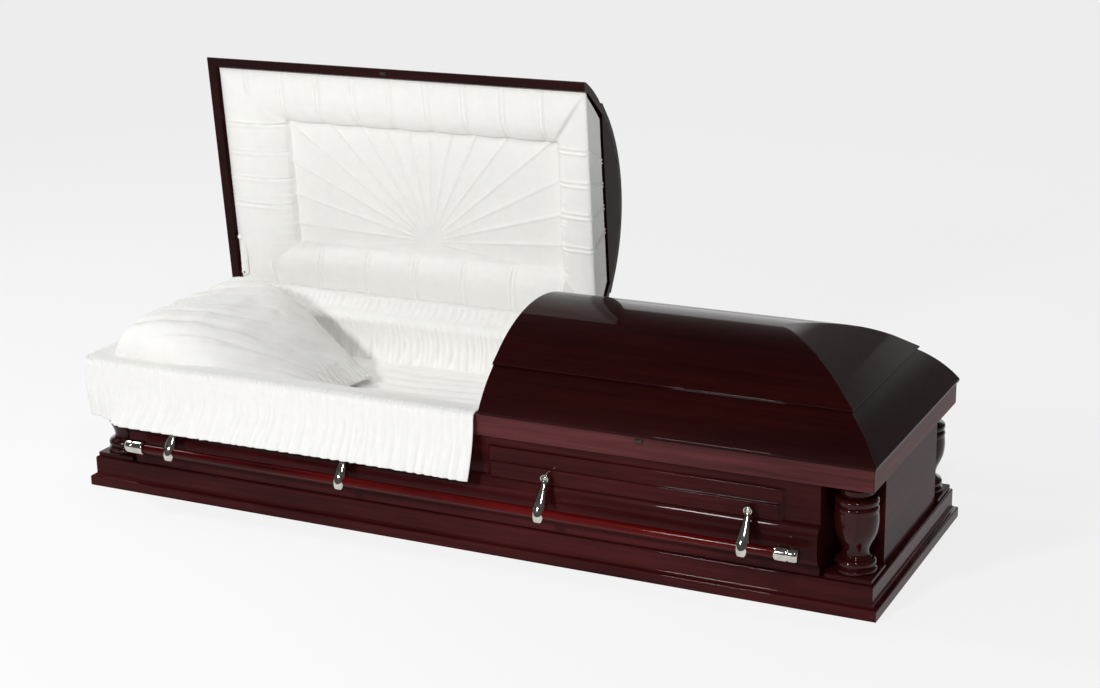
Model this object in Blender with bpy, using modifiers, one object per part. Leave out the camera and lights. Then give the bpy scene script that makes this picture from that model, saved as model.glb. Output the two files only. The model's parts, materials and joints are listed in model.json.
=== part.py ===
"""Half-couch casket: a wooden body on a moulded base, two domed lids, swing-bar handles and a lining.

Metres, with +X to the foot end, -Y to the front and +Z up. The origin is the middle of the underside.
The head lid stands open and the foot lid is closed.
"""
import math

import bmesh
import bpy
from mathutils import Matrix, Vector

# Fits
TOUCH_GAP = 0.0003          # left between pieces that touch
CLOTH_GAP = 0.0020          # left between a lining and the wood behind it

# Base moulding and floor
BASE_LENGTH = 2.110
BASE_WIDTH = 0.672
BASE_HEIGHT = 0.0765
BASE_FRAME_WIDTH = 0.075
BASE_FOOT_HEIGHT = 0.0262   # lower upright face
BASE_COVE_HEIGHT = 0.0105
BASE_COVE_DEPTH = 0.0125
BASE_ROUND = 0.005
FLOOR_THICKNESS = 0.018

# Body walls with square notches at the corners
WALL_INSET_END = 0.025
WALL_INSET_SIDE = 0.0195
WALL_HEIGHT = 0.2175
WALL_THICKNESS = 0.018
NOTCH = 0.112

# Top rail
RAIL_HEIGHT = 0.0525
RAIL_OVERHANG_END = 0.0103
RAIL_OVERHANG_SIDE = 0.0120

# Corner plinths and turned urn posts
PLINTH_SIZE = 0.107
PLINTH_HEIGHT = 0.011
PLINTH_INSET = 0.018
PLINTH_BEVEL = 0.0015
URN_RADIUS = 0.0495

# Large rounded moulding low on each side, and the stepped panels above it
MOULDING_BOTTOM = 0.100
MOULDING_HEIGHT = 0.098
MOULDING_PROUD = 0.020
PANEL_START = 0.105
PANEL_LENGTH = 0.733
PANEL_STEP_HEIGHT = 0.0365
PANEL_BAND_HEIGHT = 0.0355
PANEL_STEP_PROUD = 0.013
PANEL_BAND_PROUD = 0.007
PANEL_EDGE = 0.003
PANEL_END_SLOPE = 1.0

# Lids
LID_SEAT_GAP = 0.0015
LID_OVERHANG_END = 0.0045
LID_OVERHANG_SIDE = 0.0066
LID_SPLIT = 0.087           # where the two lids meet
LID_SPLIT_GAP = 0.006
LID_THICKNESS = 0.016
LID_RIM_WIDTH = 0.024
LID_EDGE = 0.006
SKIRT_RUN = 0.0832
SKIRT_RISE = 0.0882
SKIRT_BULGE = 0.006
LIP_LAP = 0.0053
LIP_RISE = 0.0060
BOARD_RUN = 0.0496
BOARD_RISE = 0.0350
CROWN_RISE = 0.0604
HEADER_THICKNESS = 0.020
HEADER_SILL = 0.0950        # above the lid's lower edge

# Lid hinges, catches and stay
LID_OPEN_DEG = 85.2
HINGE_RADIUS = 0.0038
HINGE_OFFSET = 0.0045       # from the lid's back edge out to the axis
HINGE_LEAF = 0.0014
HINGE_LEAF_HEIGHT = 0.028
HINGE_END_MARGIN = 0.060
CATCH_X = 0.494
CATCH_LENGTH = 0.018
CATCH_HEIGHT = 0.009
CATCH_PROUD = 0.004
CATCH_DROP = 0.006          # below the top of the rail
CATCH_BEVEL = 0.0012
STAY_LENGTH = 0.125
STAY_WIDTH = 0.022
STAY_THICKNESS = 0.006
STAY_BEVEL = 0.002
STAY_GAP = 0.0015           # from the lid's lower plane to the stay
STAY_FROM_END = 0.040
STAY_FROM_BACK = 0.045

# Swing-bar handles
HANDLE_X = (0.266, 0.762)
HANDLE_HEIGHT = 0.2197
HANDLE_STANDOFF = 0.0140    # from the panel's face out to the pivot
HANDLE_REST_DEG = 27.1
EAR_WIDTH = 0.024
EAR_HEIGHT = 0.021
EAR_CHEEK = 0.004
EAR_PLATE = 0.004
EAR_REACH = 0.0085          # past the pivot
ARM_EYE_RADIUS = 0.0085
ARM_PLAY = 0.0006
ARM_LENGTH = 0.105
ARM_RADIUS = 0.0165
BAR_DROP = 0.082            # from the pivot to the bar
BAR_RADIUS = 0.0115
BAR_HALF_LENGTH = 0.838
CAP_LENGTH = 0.054
CAP_RADIUS = 0.0175

# Linings
BODY_LINING_THICKNESS = 0.030
BODY_LINING_CHAMFER = 0.150
BODY_LINING_DROP = 0.001    # below the top of the rail
BODY_LINING_ROUND = 0.020
MATTRESS_TOP = 0.235
MATTRESS_ROUND = 0.025
MATTRESS_CLEAR = 0.004      # to the inside of the base
PILLOW_LENGTH = 0.520
PILLOW_WIDTH = 0.510
PILLOW_CROWN = 0.088        # above its seam
PILLOW_UNDER = 0.034        # below its seam
PILLOW_PINCH = 0.30         # thickness left at its edges
PILLOW_TILT_DEG = 19.0
PILLOW_FROM_END = 0.300     # from the inner end wall to the pillow's middle
LINING_EDGE = 0.036         # from the lid's outer edge to its lining
LINING_FACE = 0.0095        # depth of the lining's rolls inside the lid's lower plane
LINING_THICKNESS = 0.012
LINING_PANEL_DEPTH = 0.045
LINING_CUT_DEPTH = 0.086
LINING_BACK = 0.025
ROLL_HEAD = 0.165
ROLL_FRONT = 0.135
ROLL_BACK = 0.115
ROLL_CUT = 0.100
OVERLAY_THICKNESS = 0.0055
OVERLAY_DROP = 0.157        # below the top of the rail
OVERLAY_FLARE = 0.047       # the hem clears the handle arms
OVERLAY_PUFF = 0.0088
OVERLAY_KNEE = 0.42         # share of its drop where it starts to flare
OVERLAY_END_LIFT = 0.010    # the hem is this much higher at the end
OVERLAY_REACH_IN = 0.050
OVERLAY_SPLIT_GAP = 0.004
OVERLAY_BACK_MARGIN = 0.060

# Facets
TURN_STEPS = 16
CAP_STEPS = 12
ARM_STEPS = 12
BAR_SIDES = 14
ARC_SEGMENTS = 10
CROWN_SEGMENTS = 7
SKIRT_SEGMENTS = 6

# Places worked out from the sizes above
HALF_LENGTH = BASE_LENGTH / 2
HALF_WIDTH = BASE_WIDTH / 2
WALL_X = HALF_LENGTH - WALL_INSET_END
WALL_Y = HALF_WIDTH - WALL_INSET_SIDE
RAIL_X = WALL_X + RAIL_OVERHANG_END
RAIL_Y = WALL_Y + RAIL_OVERHANG_SIDE
RAIL_BOTTOM = BASE_HEIGHT + WALL_HEIGHT
RAIL_TOP = RAIL_BOTTOM + RAIL_HEIGHT
LID_X = RAIL_X + LID_OVERHANG_END
LID_Y = RAIL_Y + LID_OVERHANG_SIDE
LID_BOTTOM = RAIL_TOP + LID_SEAT_GAP
HINGE_Y = LID_Y + HINGE_OFFSET
HINGE_Z = RAIL_TOP + LID_SEAT_GAP * 0.7
PIVOT_Y = WALL_Y + PANEL_STEP_PROUD + HANDLE_STANDOFF

FINISHES = {
    "gloss_wood": ((0.085, 0.012, 0.010), 0.12, 0.0),
    "bar_wood": ((0.200, 0.014, 0.012), 0.15, 0.0),
    "nickel": ((0.760, 0.740, 0.680), 0.18, 1.0),
    "dark_metal": ((0.035, 0.032, 0.030), 0.35, 1.0),
    "crepe": ((0.860, 0.850, 0.810), 0.85, 0.0),
    "floor_wood": ((0.230, 0.150, 0.085), 0.60, 0.0),
}


def clear_scene():
    for item in list(bpy.data.objects):
        bpy.data.objects.remove(item, do_unlink=True)


def add_collection(name):
    group = bpy.data.collections.new(name)
    bpy.context.scene.collection.children.link(group)
    return group


def add_finish(name):
    colour, roughness, metallic = FINISHES[name]
    material = bpy.data.materials.new(name)
    material.use_nodes = True
    shader = material.node_tree.nodes["Principled BSDF"]
    shader.inputs["Base Color"].default_value = (*colour, 1.0)
    shader.inputs["Roughness"].default_value = roughness
    shader.inputs["Metallic"].default_value = metallic
    return material


clear_scene()
CASKET = add_collection("half_couch_casket")
CUTTERS = add_collection("cutters")
MATERIALS = {name: add_finish(name) for name in FINISHES}


def add_piece(name, data, finish, parent=None, place=(0, 0, 0), turn=(0, 0, 0)):
    """Put a mesh or curve in the model under its own name, with its finish."""
    if not data.materials:
        data.materials.append(MATERIALS[finish])
    piece = bpy.data.objects.new(name, data)
    CASKET.objects.link(piece)
    piece.location = place
    piece.rotation_euler = turn
    piece.parent = parent
    return piece


def add_axis(name, place, turn_deg):
    """An empty on a joint's axis, turned about X."""
    axis = bpy.data.objects.new(name, None)
    CASKET.objects.link(axis)
    axis.location = place
    axis.rotation_euler = (math.radians(turn_deg), 0, 0)
    return axis


def mesh_from(bm, name, smooth_deg=None):
    bmesh.ops.recalc_face_normals(bm, faces=bm.faces)
    mesh = bpy.data.meshes.new(name)
    bm.to_mesh(mesh)
    bm.free()
    if smooth_deg is not None:
        mesh.shade_smooth()
        mesh.set_sharp_from_angle(angle=math.radians(smooth_deg))
    return mesh


def loft(name, sections, ring=False, smooth_deg=35):
    """A closed body through sections of equal count; a ring joins the last section to the first."""
    bm = bmesh.new()
    rows = [[bm.verts.new(point) for point in section] for section in sections]
    pairs = list(zip(rows, rows[1:]))
    if ring:
        pairs.append((rows[-1], rows[0]))
    count = len(rows[0])
    for here, there in pairs:
        for i in range(count):
            j = (i + 1) % count
            bm.faces.new((here[i], here[j], there[j], there[i]))
    if not ring:
        bm.faces.new(rows[0])
        bm.faces.new(rows[-1])
    return mesh_from(bm, name, smooth_deg)


def box_mesh(name, low, high, bevel=0.0):
    bm = bmesh.new()
    size = Vector(high) - Vector(low)
    middle = (Vector(high) + Vector(low)) / 2
    place = Matrix.Translation(middle) @ Matrix.Diagonal((*size, 1.0))
    bmesh.ops.create_cube(bm, size=1.0, matrix=place)
    if bevel:
        bmesh.ops.bevel(bm, geom=bm.edges[:], offset=bevel, segments=2, affect="EDGES", profile=0.5)
    return mesh_from(bm, name)


def outline_curve(name, loops, thickness):
    """A flat outline of one or more closed loops, as a filled 2D curve with an extrude."""
    curve = bpy.data.curves.new(name, "CURVE")
    curve.dimensions = "2D"
    curve.fill_mode = "BOTH"
    curve.extrude = thickness / 2
    for loop in loops:
        spline = curve.splines.new("POLY")
        spline.points.add(len(loop) - 1)
        for point, (x, y) in zip(spline.points, loop):
            point.co = (x, y, 0, 1)
        spline.use_cyclic_u = True
    return curve


def turned_piece(name, profile, finish, parent=None, place=(0, 0, 0), turn=(0, 0, 0), steps=TURN_STEPS):
    """A piece turned round Z from (radius, height) points that run from top to bottom."""
    mesh = bpy.data.meshes.new(name)
    edges = [(i, i + 1) for i in range(len(profile) - 1)]
    mesh.from_pydata([(r, 0, z) for r, z in profile], edges, [])
    piece = add_piece(name, mesh, finish, parent, place, turn)
    screw = piece.modifiers.new("turn", "SCREW")
    screw.axis = "Z"
    screw.steps = steps
    screw.render_steps = steps
    screw.use_merge_vertices = True
    screw.merge_threshold = 0.0001
    screw.use_smooth_shade = True
    return piece


def baked_mesh(piece, name):
    """The evaluated mesh of a piece that is then removed."""
    graph = bpy.context.evaluated_depsgraph_get()
    mesh = bpy.data.meshes.new_from_object(piece.evaluated_get(graph))
    mesh.name = name
    bpy.data.objects.remove(piece, do_unlink=True)
    return mesh


def arc(start, end, bulge, segments):
    """Points from start to end, swelling to the left by bulge at the middle, without the two ends."""
    a, b = Vector(start), Vector(end)
    side = Vector((-(b - a).y, (b - a).x)).normalized()
    points = []
    for k in range(1, segments):
        s = k / segments
        points.append(tuple(a.lerp(b, s) + side * bulge * 4 * s * (1 - s)))
    return points


def corner_section(sx, sy, half_x, half_y, profile):
    """A moulding's profile of (inset, height) points, standing on the mitre of one corner."""
    return [(sx * (half_x - i), sy * (half_y - i), z) for i, z in profile]


CORNERS = ((-1, -1), (1, -1), (1, 1), (-1, 1))
CORNER_NAMES = {(-1, -1): "front_head", (1, -1): "front_foot", (1, 1): "back_foot", (-1, 1): "back_head"}


def notched_outline(half_x, half_y, notch_x, notch_y):
    """A rectangle with its four corners cut square, twelve points round."""
    points = []
    for sx, sy in CORNERS:
        steps = [(half_x, notch_y), (notch_x, notch_y), (notch_x, half_y)]
        if sx * sy < 0:
            steps.reverse()
        points += [(sx * x, sy * y) for x, y in steps]
    return points


def build_base():
    top_start = BASE_FOOT_HEIGHT + BASE_COVE_HEIGHT
    profile = [(0, 0), (0, BASE_FOOT_HEIGHT - BASE_ROUND),
               (0.3 * BASE_ROUND, BASE_FOOT_HEIGHT - 0.3 * BASE_ROUND), (0.8 * BASE_ROUND, BASE_FOOT_HEIGHT)]
    profile += arc(profile[-1], (BASE_COVE_DEPTH, top_start), -0.2 * BASE_COVE_HEIGHT, 4)
    profile += [(BASE_COVE_DEPTH, top_start),
                (BASE_COVE_DEPTH, BASE_HEIGHT - BASE_ROUND),
                (BASE_COVE_DEPTH + 0.3 * BASE_ROUND, BASE_HEIGHT - 0.3 * BASE_ROUND),
                (BASE_COVE_DEPTH + BASE_ROUND, BASE_HEIGHT),
                (BASE_FRAME_WIDTH, BASE_HEIGHT), (BASE_FRAME_WIDTH, 0)]
    sections = [corner_section(sx, sy, HALF_LENGTH, HALF_WIDTH, profile) for sx, sy in CORNERS]
    add_piece("base_moulding", loft("base_moulding", sections, ring=True), "gloss_wood")
    inner_x = HALF_LENGTH - BASE_FRAME_WIDTH - TOUCH_GAP
    inner_y = HALF_WIDTH - BASE_FRAME_WIDTH - TOUCH_GAP
    floor = box_mesh("floor_board", (-inner_x, -inner_y, 0), (inner_x, inner_y, FLOOR_THICKNESS))
    add_piece("floor_board", floor, "floor_wood")


def wall_outline(out, half, back, notch_back):
    """A wall in plan with a return at each end: its outer face at out, its flat half long."""
    inner = half - WALL_THICKNESS
    return [(-half, out), (half, out), (half, back), (inner, notch_back), (inner, out - WALL_THICKNESS),
            (-inner, out - WALL_THICKNESS), (-inner, notch_back), (-half, back)]


def build_walls():
    height = WALL_HEIGHT - 2 * TOUCH_GAP
    middle = BASE_HEIGHT + WALL_HEIGHT / 2
    side_half = WALL_X - NOTCH
    end_half = WALL_Y - NOTCH
    side_back = WALL_Y - NOTCH + TOUCH_GAP
    side_plan = wall_outline(WALL_Y, side_half, side_back, side_back)
    for name, turn in (("front_wall", math.pi), ("back_wall", 0)):
        wall = outline_curve(name, [side_plan], height)
        add_piece(name, wall, "gloss_wood", place=(0, 0, middle), turn=(0, 0, turn))
    reach = WALL_X - NOTCH - WALL_THICKNESS
    end_plan = wall_outline(WALL_X, end_half, reach, reach)
    for name, turn in (("head_end_wall", math.pi / 2), ("foot_end_wall", -math.pi / 2)):
        wall = outline_curve(name, [end_plan], height)
        add_piece(name, wall, "gloss_wood", place=(0, 0, middle), turn=(0, 0, turn))


def rail_inner_outline(inset=0.0):
    inner_notch = NOTCH + WALL_THICKNESS + inset
    return notched_outline(WALL_X - WALL_THICKNESS - inset, WALL_Y - WALL_THICKNESS - inset,
                           WALL_X - inner_notch, WALL_Y - inner_notch)


def build_rail():
    outer = [(sx * RAIL_X, sy * RAIL_Y) for sx, sy in CORNERS]
    rail = outline_curve("top_rail", [outer, rail_inner_outline()], RAIL_HEIGHT)
    add_piece("top_rail", rail, "gloss_wood", place=(0, 0, RAIL_BOTTOM + RAIL_HEIGHT / 2))


def urn_profile(height):
    """The urn's (radius, height) points, as shares of its widest radius and its height."""
    shape = [(0, 1.0), (0.58, 1.0), (0.58, 0.965), (0.66, 0.955), (0.76, 0.925), (0.76, 0.875), (0.60, 0.865),
             (0.62, 0.845), (0.92, 0.825), (0.97, 0.790), (0.95, 0.752), (0.90, 0.742), (0.97, 0.728),
             (0.98, 0.690), (1.0, 0.570), (0.95, 0.480), (0.82, 0.385), (0.66, 0.310), (0.58, 0.245),
             (0.60, 0.200), (0.70, 0.165), (0.86, 0.135), (0.90, 0.095), (0.86, 0.062), (0.92, 0.050),
             (0.96, 0.030), (0.96, 0), (0, 0)]
    return [(r * URN_RADIUS, z * height) for r, z in shape]


def build_corners():
    centre_x = HALF_LENGTH - PLINTH_INSET - PLINTH_SIZE / 2
    centre_y = HALF_WIDTH - PLINTH_INSET - PLINTH_SIZE / 2
    plinth_low = BASE_HEIGHT + TOUCH_GAP
    plinth_top = BASE_HEIGHT + PLINTH_HEIGHT
    urn_low = plinth_top + TOUCH_GAP
    urn_height = RAIL_BOTTOM - TOUCH_GAP - urn_low
    half = PLINTH_SIZE / 2
    for sx, sy in CORNERS:
        spot = CORNER_NAMES[(sx, sy)]
        place = (sx * centre_x, sy * centre_y, plinth_low)
        plinth = box_mesh(f"corner_plinth_{spot}", (-half, -half, 0), (half, half, plinth_top - plinth_low),
                          PLINTH_BEVEL)
        add_piece(f"corner_plinth_{spot}", plinth, "gloss_wood", place=place)
        turned_piece(f"urn_post_{spot}", urn_profile(urn_height), "gloss_wood",
                     place=(sx * centre_x, sy * centre_y, urn_low))


def build_side_mouldings():
    half = WALL_X - NOTCH
    face = WALL_Y + TOUCH_GAP
    low, high = MOULDING_BOTTOM, MOULDING_BOTTOM + MOULDING_HEIGHT
    for side, name in ((-1, "side_moulding_front"), (1, "side_moulding_back")):
        swell = []
        for k in range(ARC_SEGMENTS + 1):
            angle = math.pi * k / ARC_SEGMENTS
            out = face + MOULDING_PROUD * math.sin(angle) ** 0.8
            swell.append((out, (low + high) / 2 - math.cos(angle) * MOULDING_HEIGHT / 2))
        sections = [[(x, side * y, z) for y, z in swell] for x in (-half, half)]
        add_piece(name, loft(name, sections), "gloss_wood")


def panel_profile(bottom):
    """(proud, height) points of the two-step panel from its foot upwards."""
    step_top = bottom + PANEL_STEP_HEIGHT
    band_top = step_top + PANEL_BAND_HEIGHT
    soft = PANEL_EDGE
    return [(0, bottom), (PANEL_STEP_PROUD, bottom),
            (PANEL_STEP_PROUD, step_top - soft), (PANEL_STEP_PROUD - 0.3 * soft, step_top - 0.3 * soft),
            (PANEL_STEP_PROUD - soft, step_top), (PANEL_BAND_PROUD, step_top + 0.3 * soft),
            (PANEL_BAND_PROUD, band_top - soft), (PANEL_BAND_PROUD - 0.3 * soft, band_top - 0.3 * soft),
            (PANEL_BAND_PROUD - soft, band_top), (0, band_top)]


def build_panels():
    bottom = MOULDING_BOTTOM + MOULDING_HEIGHT + TOUCH_GAP
    face = WALL_Y + TOUCH_GAP
    profile = panel_profile(bottom)
    for sx, sy in CORNERS:
        name = f"panel_{CORNER_NAMES[(sx, sy)]}"
        ends = []
        for x, lean in ((PANEL_START, 1), (PANEL_START + PANEL_LENGTH, -1)):
            ends.append([(sx * (x + lean * PANEL_END_SLOPE * p), sy * (face + p), z) for p, z in profile])
        add_piece(name, loft(name, ends, smooth_deg=50), "gloss_wood")


def crown_points(start_t, start_z, half, rise):
    """An arc from the crease up to the ridge, level at the ridge."""
    run = half - start_t
    radius = (run * run + rise * rise) / (2 * rise)
    points = []
    for k in range(1, CROWN_SEGMENTS + 1):
        t = start_t + run * k / CROWN_SEGMENTS
        drop = radius - math.sqrt(radius * radius - (half - t) ** 2)
        points.append((t, start_z + rise - drop))
    return points


def lid_outer_profile():
    """(inset, height) from the lid's lower outer edge up to its ridge."""
    skirt_top = (SKIRT_RUN, LID_EDGE + SKIRT_RISE)
    lip = (SKIRT_RUN - LIP_LAP, skirt_top[1] + LIP_RISE)
    crease = (lip[0] + BOARD_RUN, lip[1] + BOARD_RISE)
    points = [(0, 0), (0, LID_EDGE)]
    points += arc(points[-1], skirt_top, SKIRT_BULGE, SKIRT_SEGMENTS)
    points += [skirt_top, lip, crease]
    return points + crown_points(*crease, LID_Y, CROWN_RISE)


def lid_inner_profile(depth):
    """The lid's inner face, depth in from its boards, from its rim up to its ridge."""
    outer = [point for point in lid_outer_profile()[1:]]
    del outer[SKIRT_SEGMENTS]
    points = []
    for before, here, after in zip(outer, outer[1:], outer[2:]):
        along = (Vector(after) - Vector(before)).normalized()
        inward = Vector((along.y, -along.x))
        point = Vector(here) + inward * depth
        if point.x > LID_RIM_WIDTH + depth * 0.3:
            points.append(tuple(point))
    rim = (LID_RIM_WIDTH + depth - LID_THICKNESS, 0)
    return [rim] + points + [(LID_Y, outer[-1][1] - depth)]


def domed_shell(name, cut, end):
    """A lid with a flat cut at one end and mitred hips at the other."""
    sense = 1 if end > cut else -1
    profile = lid_inner_profile(LID_THICKNESS)[::-1] + lid_outer_profile()
    rows = []
    bm = bmesh.new()
    for station in range(4):
        side = -1 if station < 2 else 1
        row = []
        for t, z in profile:
            x = end - sense * t if station in (1, 2) else cut
            row.append(bm.verts.new((x, side * (LID_Y - t), z)))
        rows.append(row)
    for here, there in zip(rows, rows[1:]):
        for i in range(len(profile) - 1):
            bm.faces.new((here[i], here[i + 1], there[i + 1], there[i]))
    bm.faces.new(rows[0])
    bm.faces.new(rows[-1])
    bmesh.ops.remove_doubles(bm, verts=bm.verts, dist=1e-6)
    return mesh_from(bm, name, 20)


def header_outline():
    """The board that closes the dome at the cut: (y, z) points with a level sill."""
    inner = lid_inner_profile(LID_THICKNESS + TOUCH_GAP)
    half = []
    for (t0, z0), (t1, z1) in zip(inner, inner[1:]):
        if z0 < HEADER_SILL <= z1:
            share = (HEADER_SILL - z0) / (z1 - z0)
            half.append((LID_Y - t0 - share * (t1 - t0), HEADER_SILL))
        if z1 > HEADER_SILL:
            half.append((LID_Y - t1, z1))
    return half + [(-y, z) for y, z in half[-2::-1]]


def build_lid(name, cut, end, axis):
    """One lid and its header board, modelled closed about its hinge axis."""
    sense = 1 if end > cut else -1
    rest = (0, -HINGE_Y, LID_BOTTOM - HINGE_Z)
    add_piece(f"{name}_lid", domed_shell(f"{name}_lid", cut, end), "gloss_wood", axis, rest)
    outline = header_outline()
    sections = [[(x, y, z) for y, z in outline] for x in (cut, cut + sense * HEADER_THICKNESS)]
    add_piece(f"{name}_header", loft(f"{name}_header", sections), "gloss_wood", axis, rest)


def lining_ring(x_end, x_cut, sense, edge, share, z, cut_edge=None, z_cut=None):
    """A rectangle inside a lid; share runs from its outer edge (0) to the sunk panel (1)."""
    head = x_end - sense * (edge + share * ROLL_HEAD)
    cut = x_cut + sense * share * ROLL_CUT
    cut_edge = edge if cut_edge is None else cut_edge
    z_cut = z if z_cut is None else z_cut
    front, back = share * ROLL_FRONT, share * ROLL_BACK
    return [(head, -(LID_Y - edge - front), z), (cut, -(LID_Y - cut_edge - front), z_cut),
            (cut, LID_Y - cut_edge - back, z_cut), (head, LID_Y - edge - back, z)]


def build_lid_lining(name, cut, end, axis, panel_depth):
    """Rolled border round a sunk panel, with a deep side face at the cut."""
    sense = 1 if end > cut else -1
    side = cut + sense * CLOTH_GAP * 2
    edge = LINING_EDGE
    thick = LINING_THICKNESS
    deep_edge = LINING_EDGE + LINING_CUT_DEPTH * SKIRT_RUN / SKIRT_RISE
    rings = [lining_ring(end, side, sense, edge + thick, 0.75, panel_depth + LINING_BACK),
             lining_ring(end, side + sense * (HEADER_THICKNESS + CLOTH_GAP), sense, edge + thick, 0.05,
                         LINING_FACE + thick, deep_edge, LINING_CUT_DEPTH),
             lining_ring(end, side, sense, edge + thick * 2 / 3, 0, LINING_FACE + thick * 2 / 3, deep_edge,
                         LINING_CUT_DEPTH),
             lining_ring(end, side, sense, edge, 0, LINING_FACE + thick / 4),
             lining_ring(end, side, sense, edge, 0.12, LINING_FACE),
             lining_ring(end, side, sense, edge, 0.60, LINING_FACE),
             lining_ring(end, side, sense, edge, 0.85, LINING_FACE + 0.2 * (panel_depth - LINING_FACE)),
             lining_ring(end, side, sense, edge, 1.0, panel_depth)]
    rest = (0, -HINGE_Y, LID_BOTTOM - HINGE_Z)
    add_piece(f"{name}_lid_lining", loft(f"{name}_lid_lining", rings), "crepe", axis, rest)


def build_hinge(name, start, end):
    """A long hinge: its barrel on the axis and its leaf on the back of the rail."""
    leaf_in = RAIL_Y + TOUCH_GAP
    leaf_out = leaf_in + HINGE_LEAF
    foot = HINGE_Z - HINGE_LEAF_HEIGHT
    turn = []
    for k in range(9):
        angle = math.radians(-135 + 270 * k / 8)
        turn.append((HINGE_Y + HINGE_RADIUS * math.cos(angle), HINGE_Z + HINGE_RADIUS * math.sin(angle)))
    neck = HINGE_Z - HINGE_RADIUS * 1.2
    shape = [(leaf_in, foot), (leaf_out, foot), (leaf_out, neck - HINGE_RADIUS)]
    shape += turn + [(HINGE_Y - HINGE_RADIUS, HINGE_Z - 0.4 * HINGE_RADIUS), (leaf_in, neck)]
    sections = [[(x, y, z) for y, z in shape] for x in (start, end)]
    add_piece(f"{name}_hinge", loft(f"{name}_hinge", sections), "dark_metal")


def build_catches(head_axis):
    top = RAIL_TOP - CATCH_DROP
    front = -(RAIL_Y + TOUCH_GAP)
    low = (CATCH_X - CATCH_LENGTH / 2, front - CATCH_PROUD, top - CATCH_HEIGHT)
    high = (CATCH_X + CATCH_LENGTH / 2, front, top)
    add_piece("foot_catch", box_mesh("foot_catch", low, high, CATCH_BEVEL), "dark_metal")
    rim = -(LID_Y - LID_RIM_WIDTH / 2) - HINGE_Y
    drop = LID_BOTTOM - HINGE_Z - TOUCH_GAP
    low = (-CATCH_X - CATCH_LENGTH / 2, rim - CATCH_HEIGHT / 2, drop - LID_SEAT_GAP / 2)
    high = (-CATCH_X + CATCH_LENGTH / 2, rim + CATCH_HEIGHT / 2, drop)
    add_piece("head_catch", box_mesh("head_catch", low, high), "dark_metal", head_axis)


def build_stay(head_axis):
    """The cloth-covered arm that holds the head lid up, laid along the inside of its end."""
    x = -LID_X + STAY_FROM_END
    back = LID_Y - STAY_FROM_BACK - HINGE_Y
    top = LID_BOTTOM - HINGE_Z + STAY_THICKNESS + STAY_GAP
    low = (x - STAY_WIDTH / 2, back - STAY_LENGTH, top - STAY_THICKNESS)
    stay = box_mesh("lid_stay", low, (x + STAY_WIDTH / 2, back, top), STAY_BEVEL)
    add_piece("lid_stay", stay, "crepe", head_axis)


def build_lids():
    head_axis = add_axis("head_lid_axis", (0, HINGE_Y, HINGE_Z), -LID_OPEN_DEG)
    foot_axis = add_axis("foot_lid_axis", (0, HINGE_Y, HINGE_Z), 0)
    head_cut = LID_SPLIT - LID_SPLIT_GAP / 2
    foot_cut = LID_SPLIT + LID_SPLIT_GAP / 2
    build_lid("head", head_cut, -LID_X, head_axis)
    build_lid("foot", foot_cut, LID_X, foot_axis)
    build_lid_lining("head", head_cut, -LID_X, head_axis, LINING_PANEL_DEPTH)
    build_lid_lining("foot", foot_cut, LID_X, foot_axis, LINING_PANEL_DEPTH * 0.7)
    build_hinge("head", -LID_X + HINGE_END_MARGIN, head_cut - HINGE_END_MARGIN)
    build_hinge("foot", foot_cut + HINGE_END_MARGIN, LID_X - HINGE_END_MARGIN)
    build_catches(head_axis)
    build_stay(head_axis)


def ear_mesh(side):
    """A plate with two cheeks, in plan, about the pivot; side is -1 at the front."""
    half = EAR_WIDTH / 2
    wall = -HANDLE_STANDOFF + 2 * TOUCH_GAP
    plate = wall + EAR_PLATE
    slot = half - EAR_CHEEK
    plan = [(-half, wall), (half, wall), (half, EAR_REACH), (slot, EAR_REACH), (slot, plate),
            (-slot, plate), (-slot, EAR_REACH), (-half, EAR_REACH)]
    sections = [[(x, side * y, z) for x, y in plan] for z in (-EAR_HEIGHT / 2, EAR_HEIGHT / 2)]
    return loft("ear", sections)


def arm_profile():
    """The drop-shaped arm's (radius, height) points below its pivot, from top to bottom."""
    neck = 0.75 * ARM_EYE_RADIUS
    shape = [(0, 0.0), (0.36, 0.0), (0.34, 0.14), (0.42, 0.32), (0.66, 0.52), (0.92, 0.70), (1.0, 0.80),
             (0.90, 0.90), (0.62, 0.97), (0, 1.0)]
    return [(r * ARM_RADIUS, -neck - z * (ARM_LENGTH - neck)) for r, z in shape]


def arm_mesh():
    """The arm: a turned drop, joined to a round eye and bored for the bar."""
    drop = turned_piece("arm_drop", arm_profile(), "nickel", steps=ARM_STEPS)
    eye_half = EAR_WIDTH / 2 - EAR_CHEEK - ARM_PLAY
    cutters = []
    for name, radius, half, height in (("arm_eye", ARM_EYE_RADIUS, eye_half, 0),
                                       ("bar_bore", BAR_RADIUS + TOUCH_GAP, 2 * ARM_RADIUS, -BAR_DROP)):
        bpy.ops.mesh.primitive_cylinder_add(vertices=BAR_SIDES, radius=radius, depth=2 * half,
                                            location=(0, 0, height), rotation=(0, math.pi / 2, 0))
        tool = bpy.context.object
        tool.name = name
        tool.hide_render = True
        tool.display_type = "WIRE"
        for group in tool.users_collection:
            group.objects.unlink(tool)
        CUTTERS.objects.link(tool)
        cutters.append(tool)
    for tool, operation in zip(cutters, ("UNION", "DIFFERENCE")):
        join = drop.modifiers.new(tool.name, "BOOLEAN")
        join.operation = operation
        join.object = tool
        join.solver = "EXACT"
    bpy.context.view_layer.update()
    mesh = baked_mesh(drop, "arm")
    for tool in cutters:
        bpy.data.objects.remove(tool, do_unlink=True)
    return mesh


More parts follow.
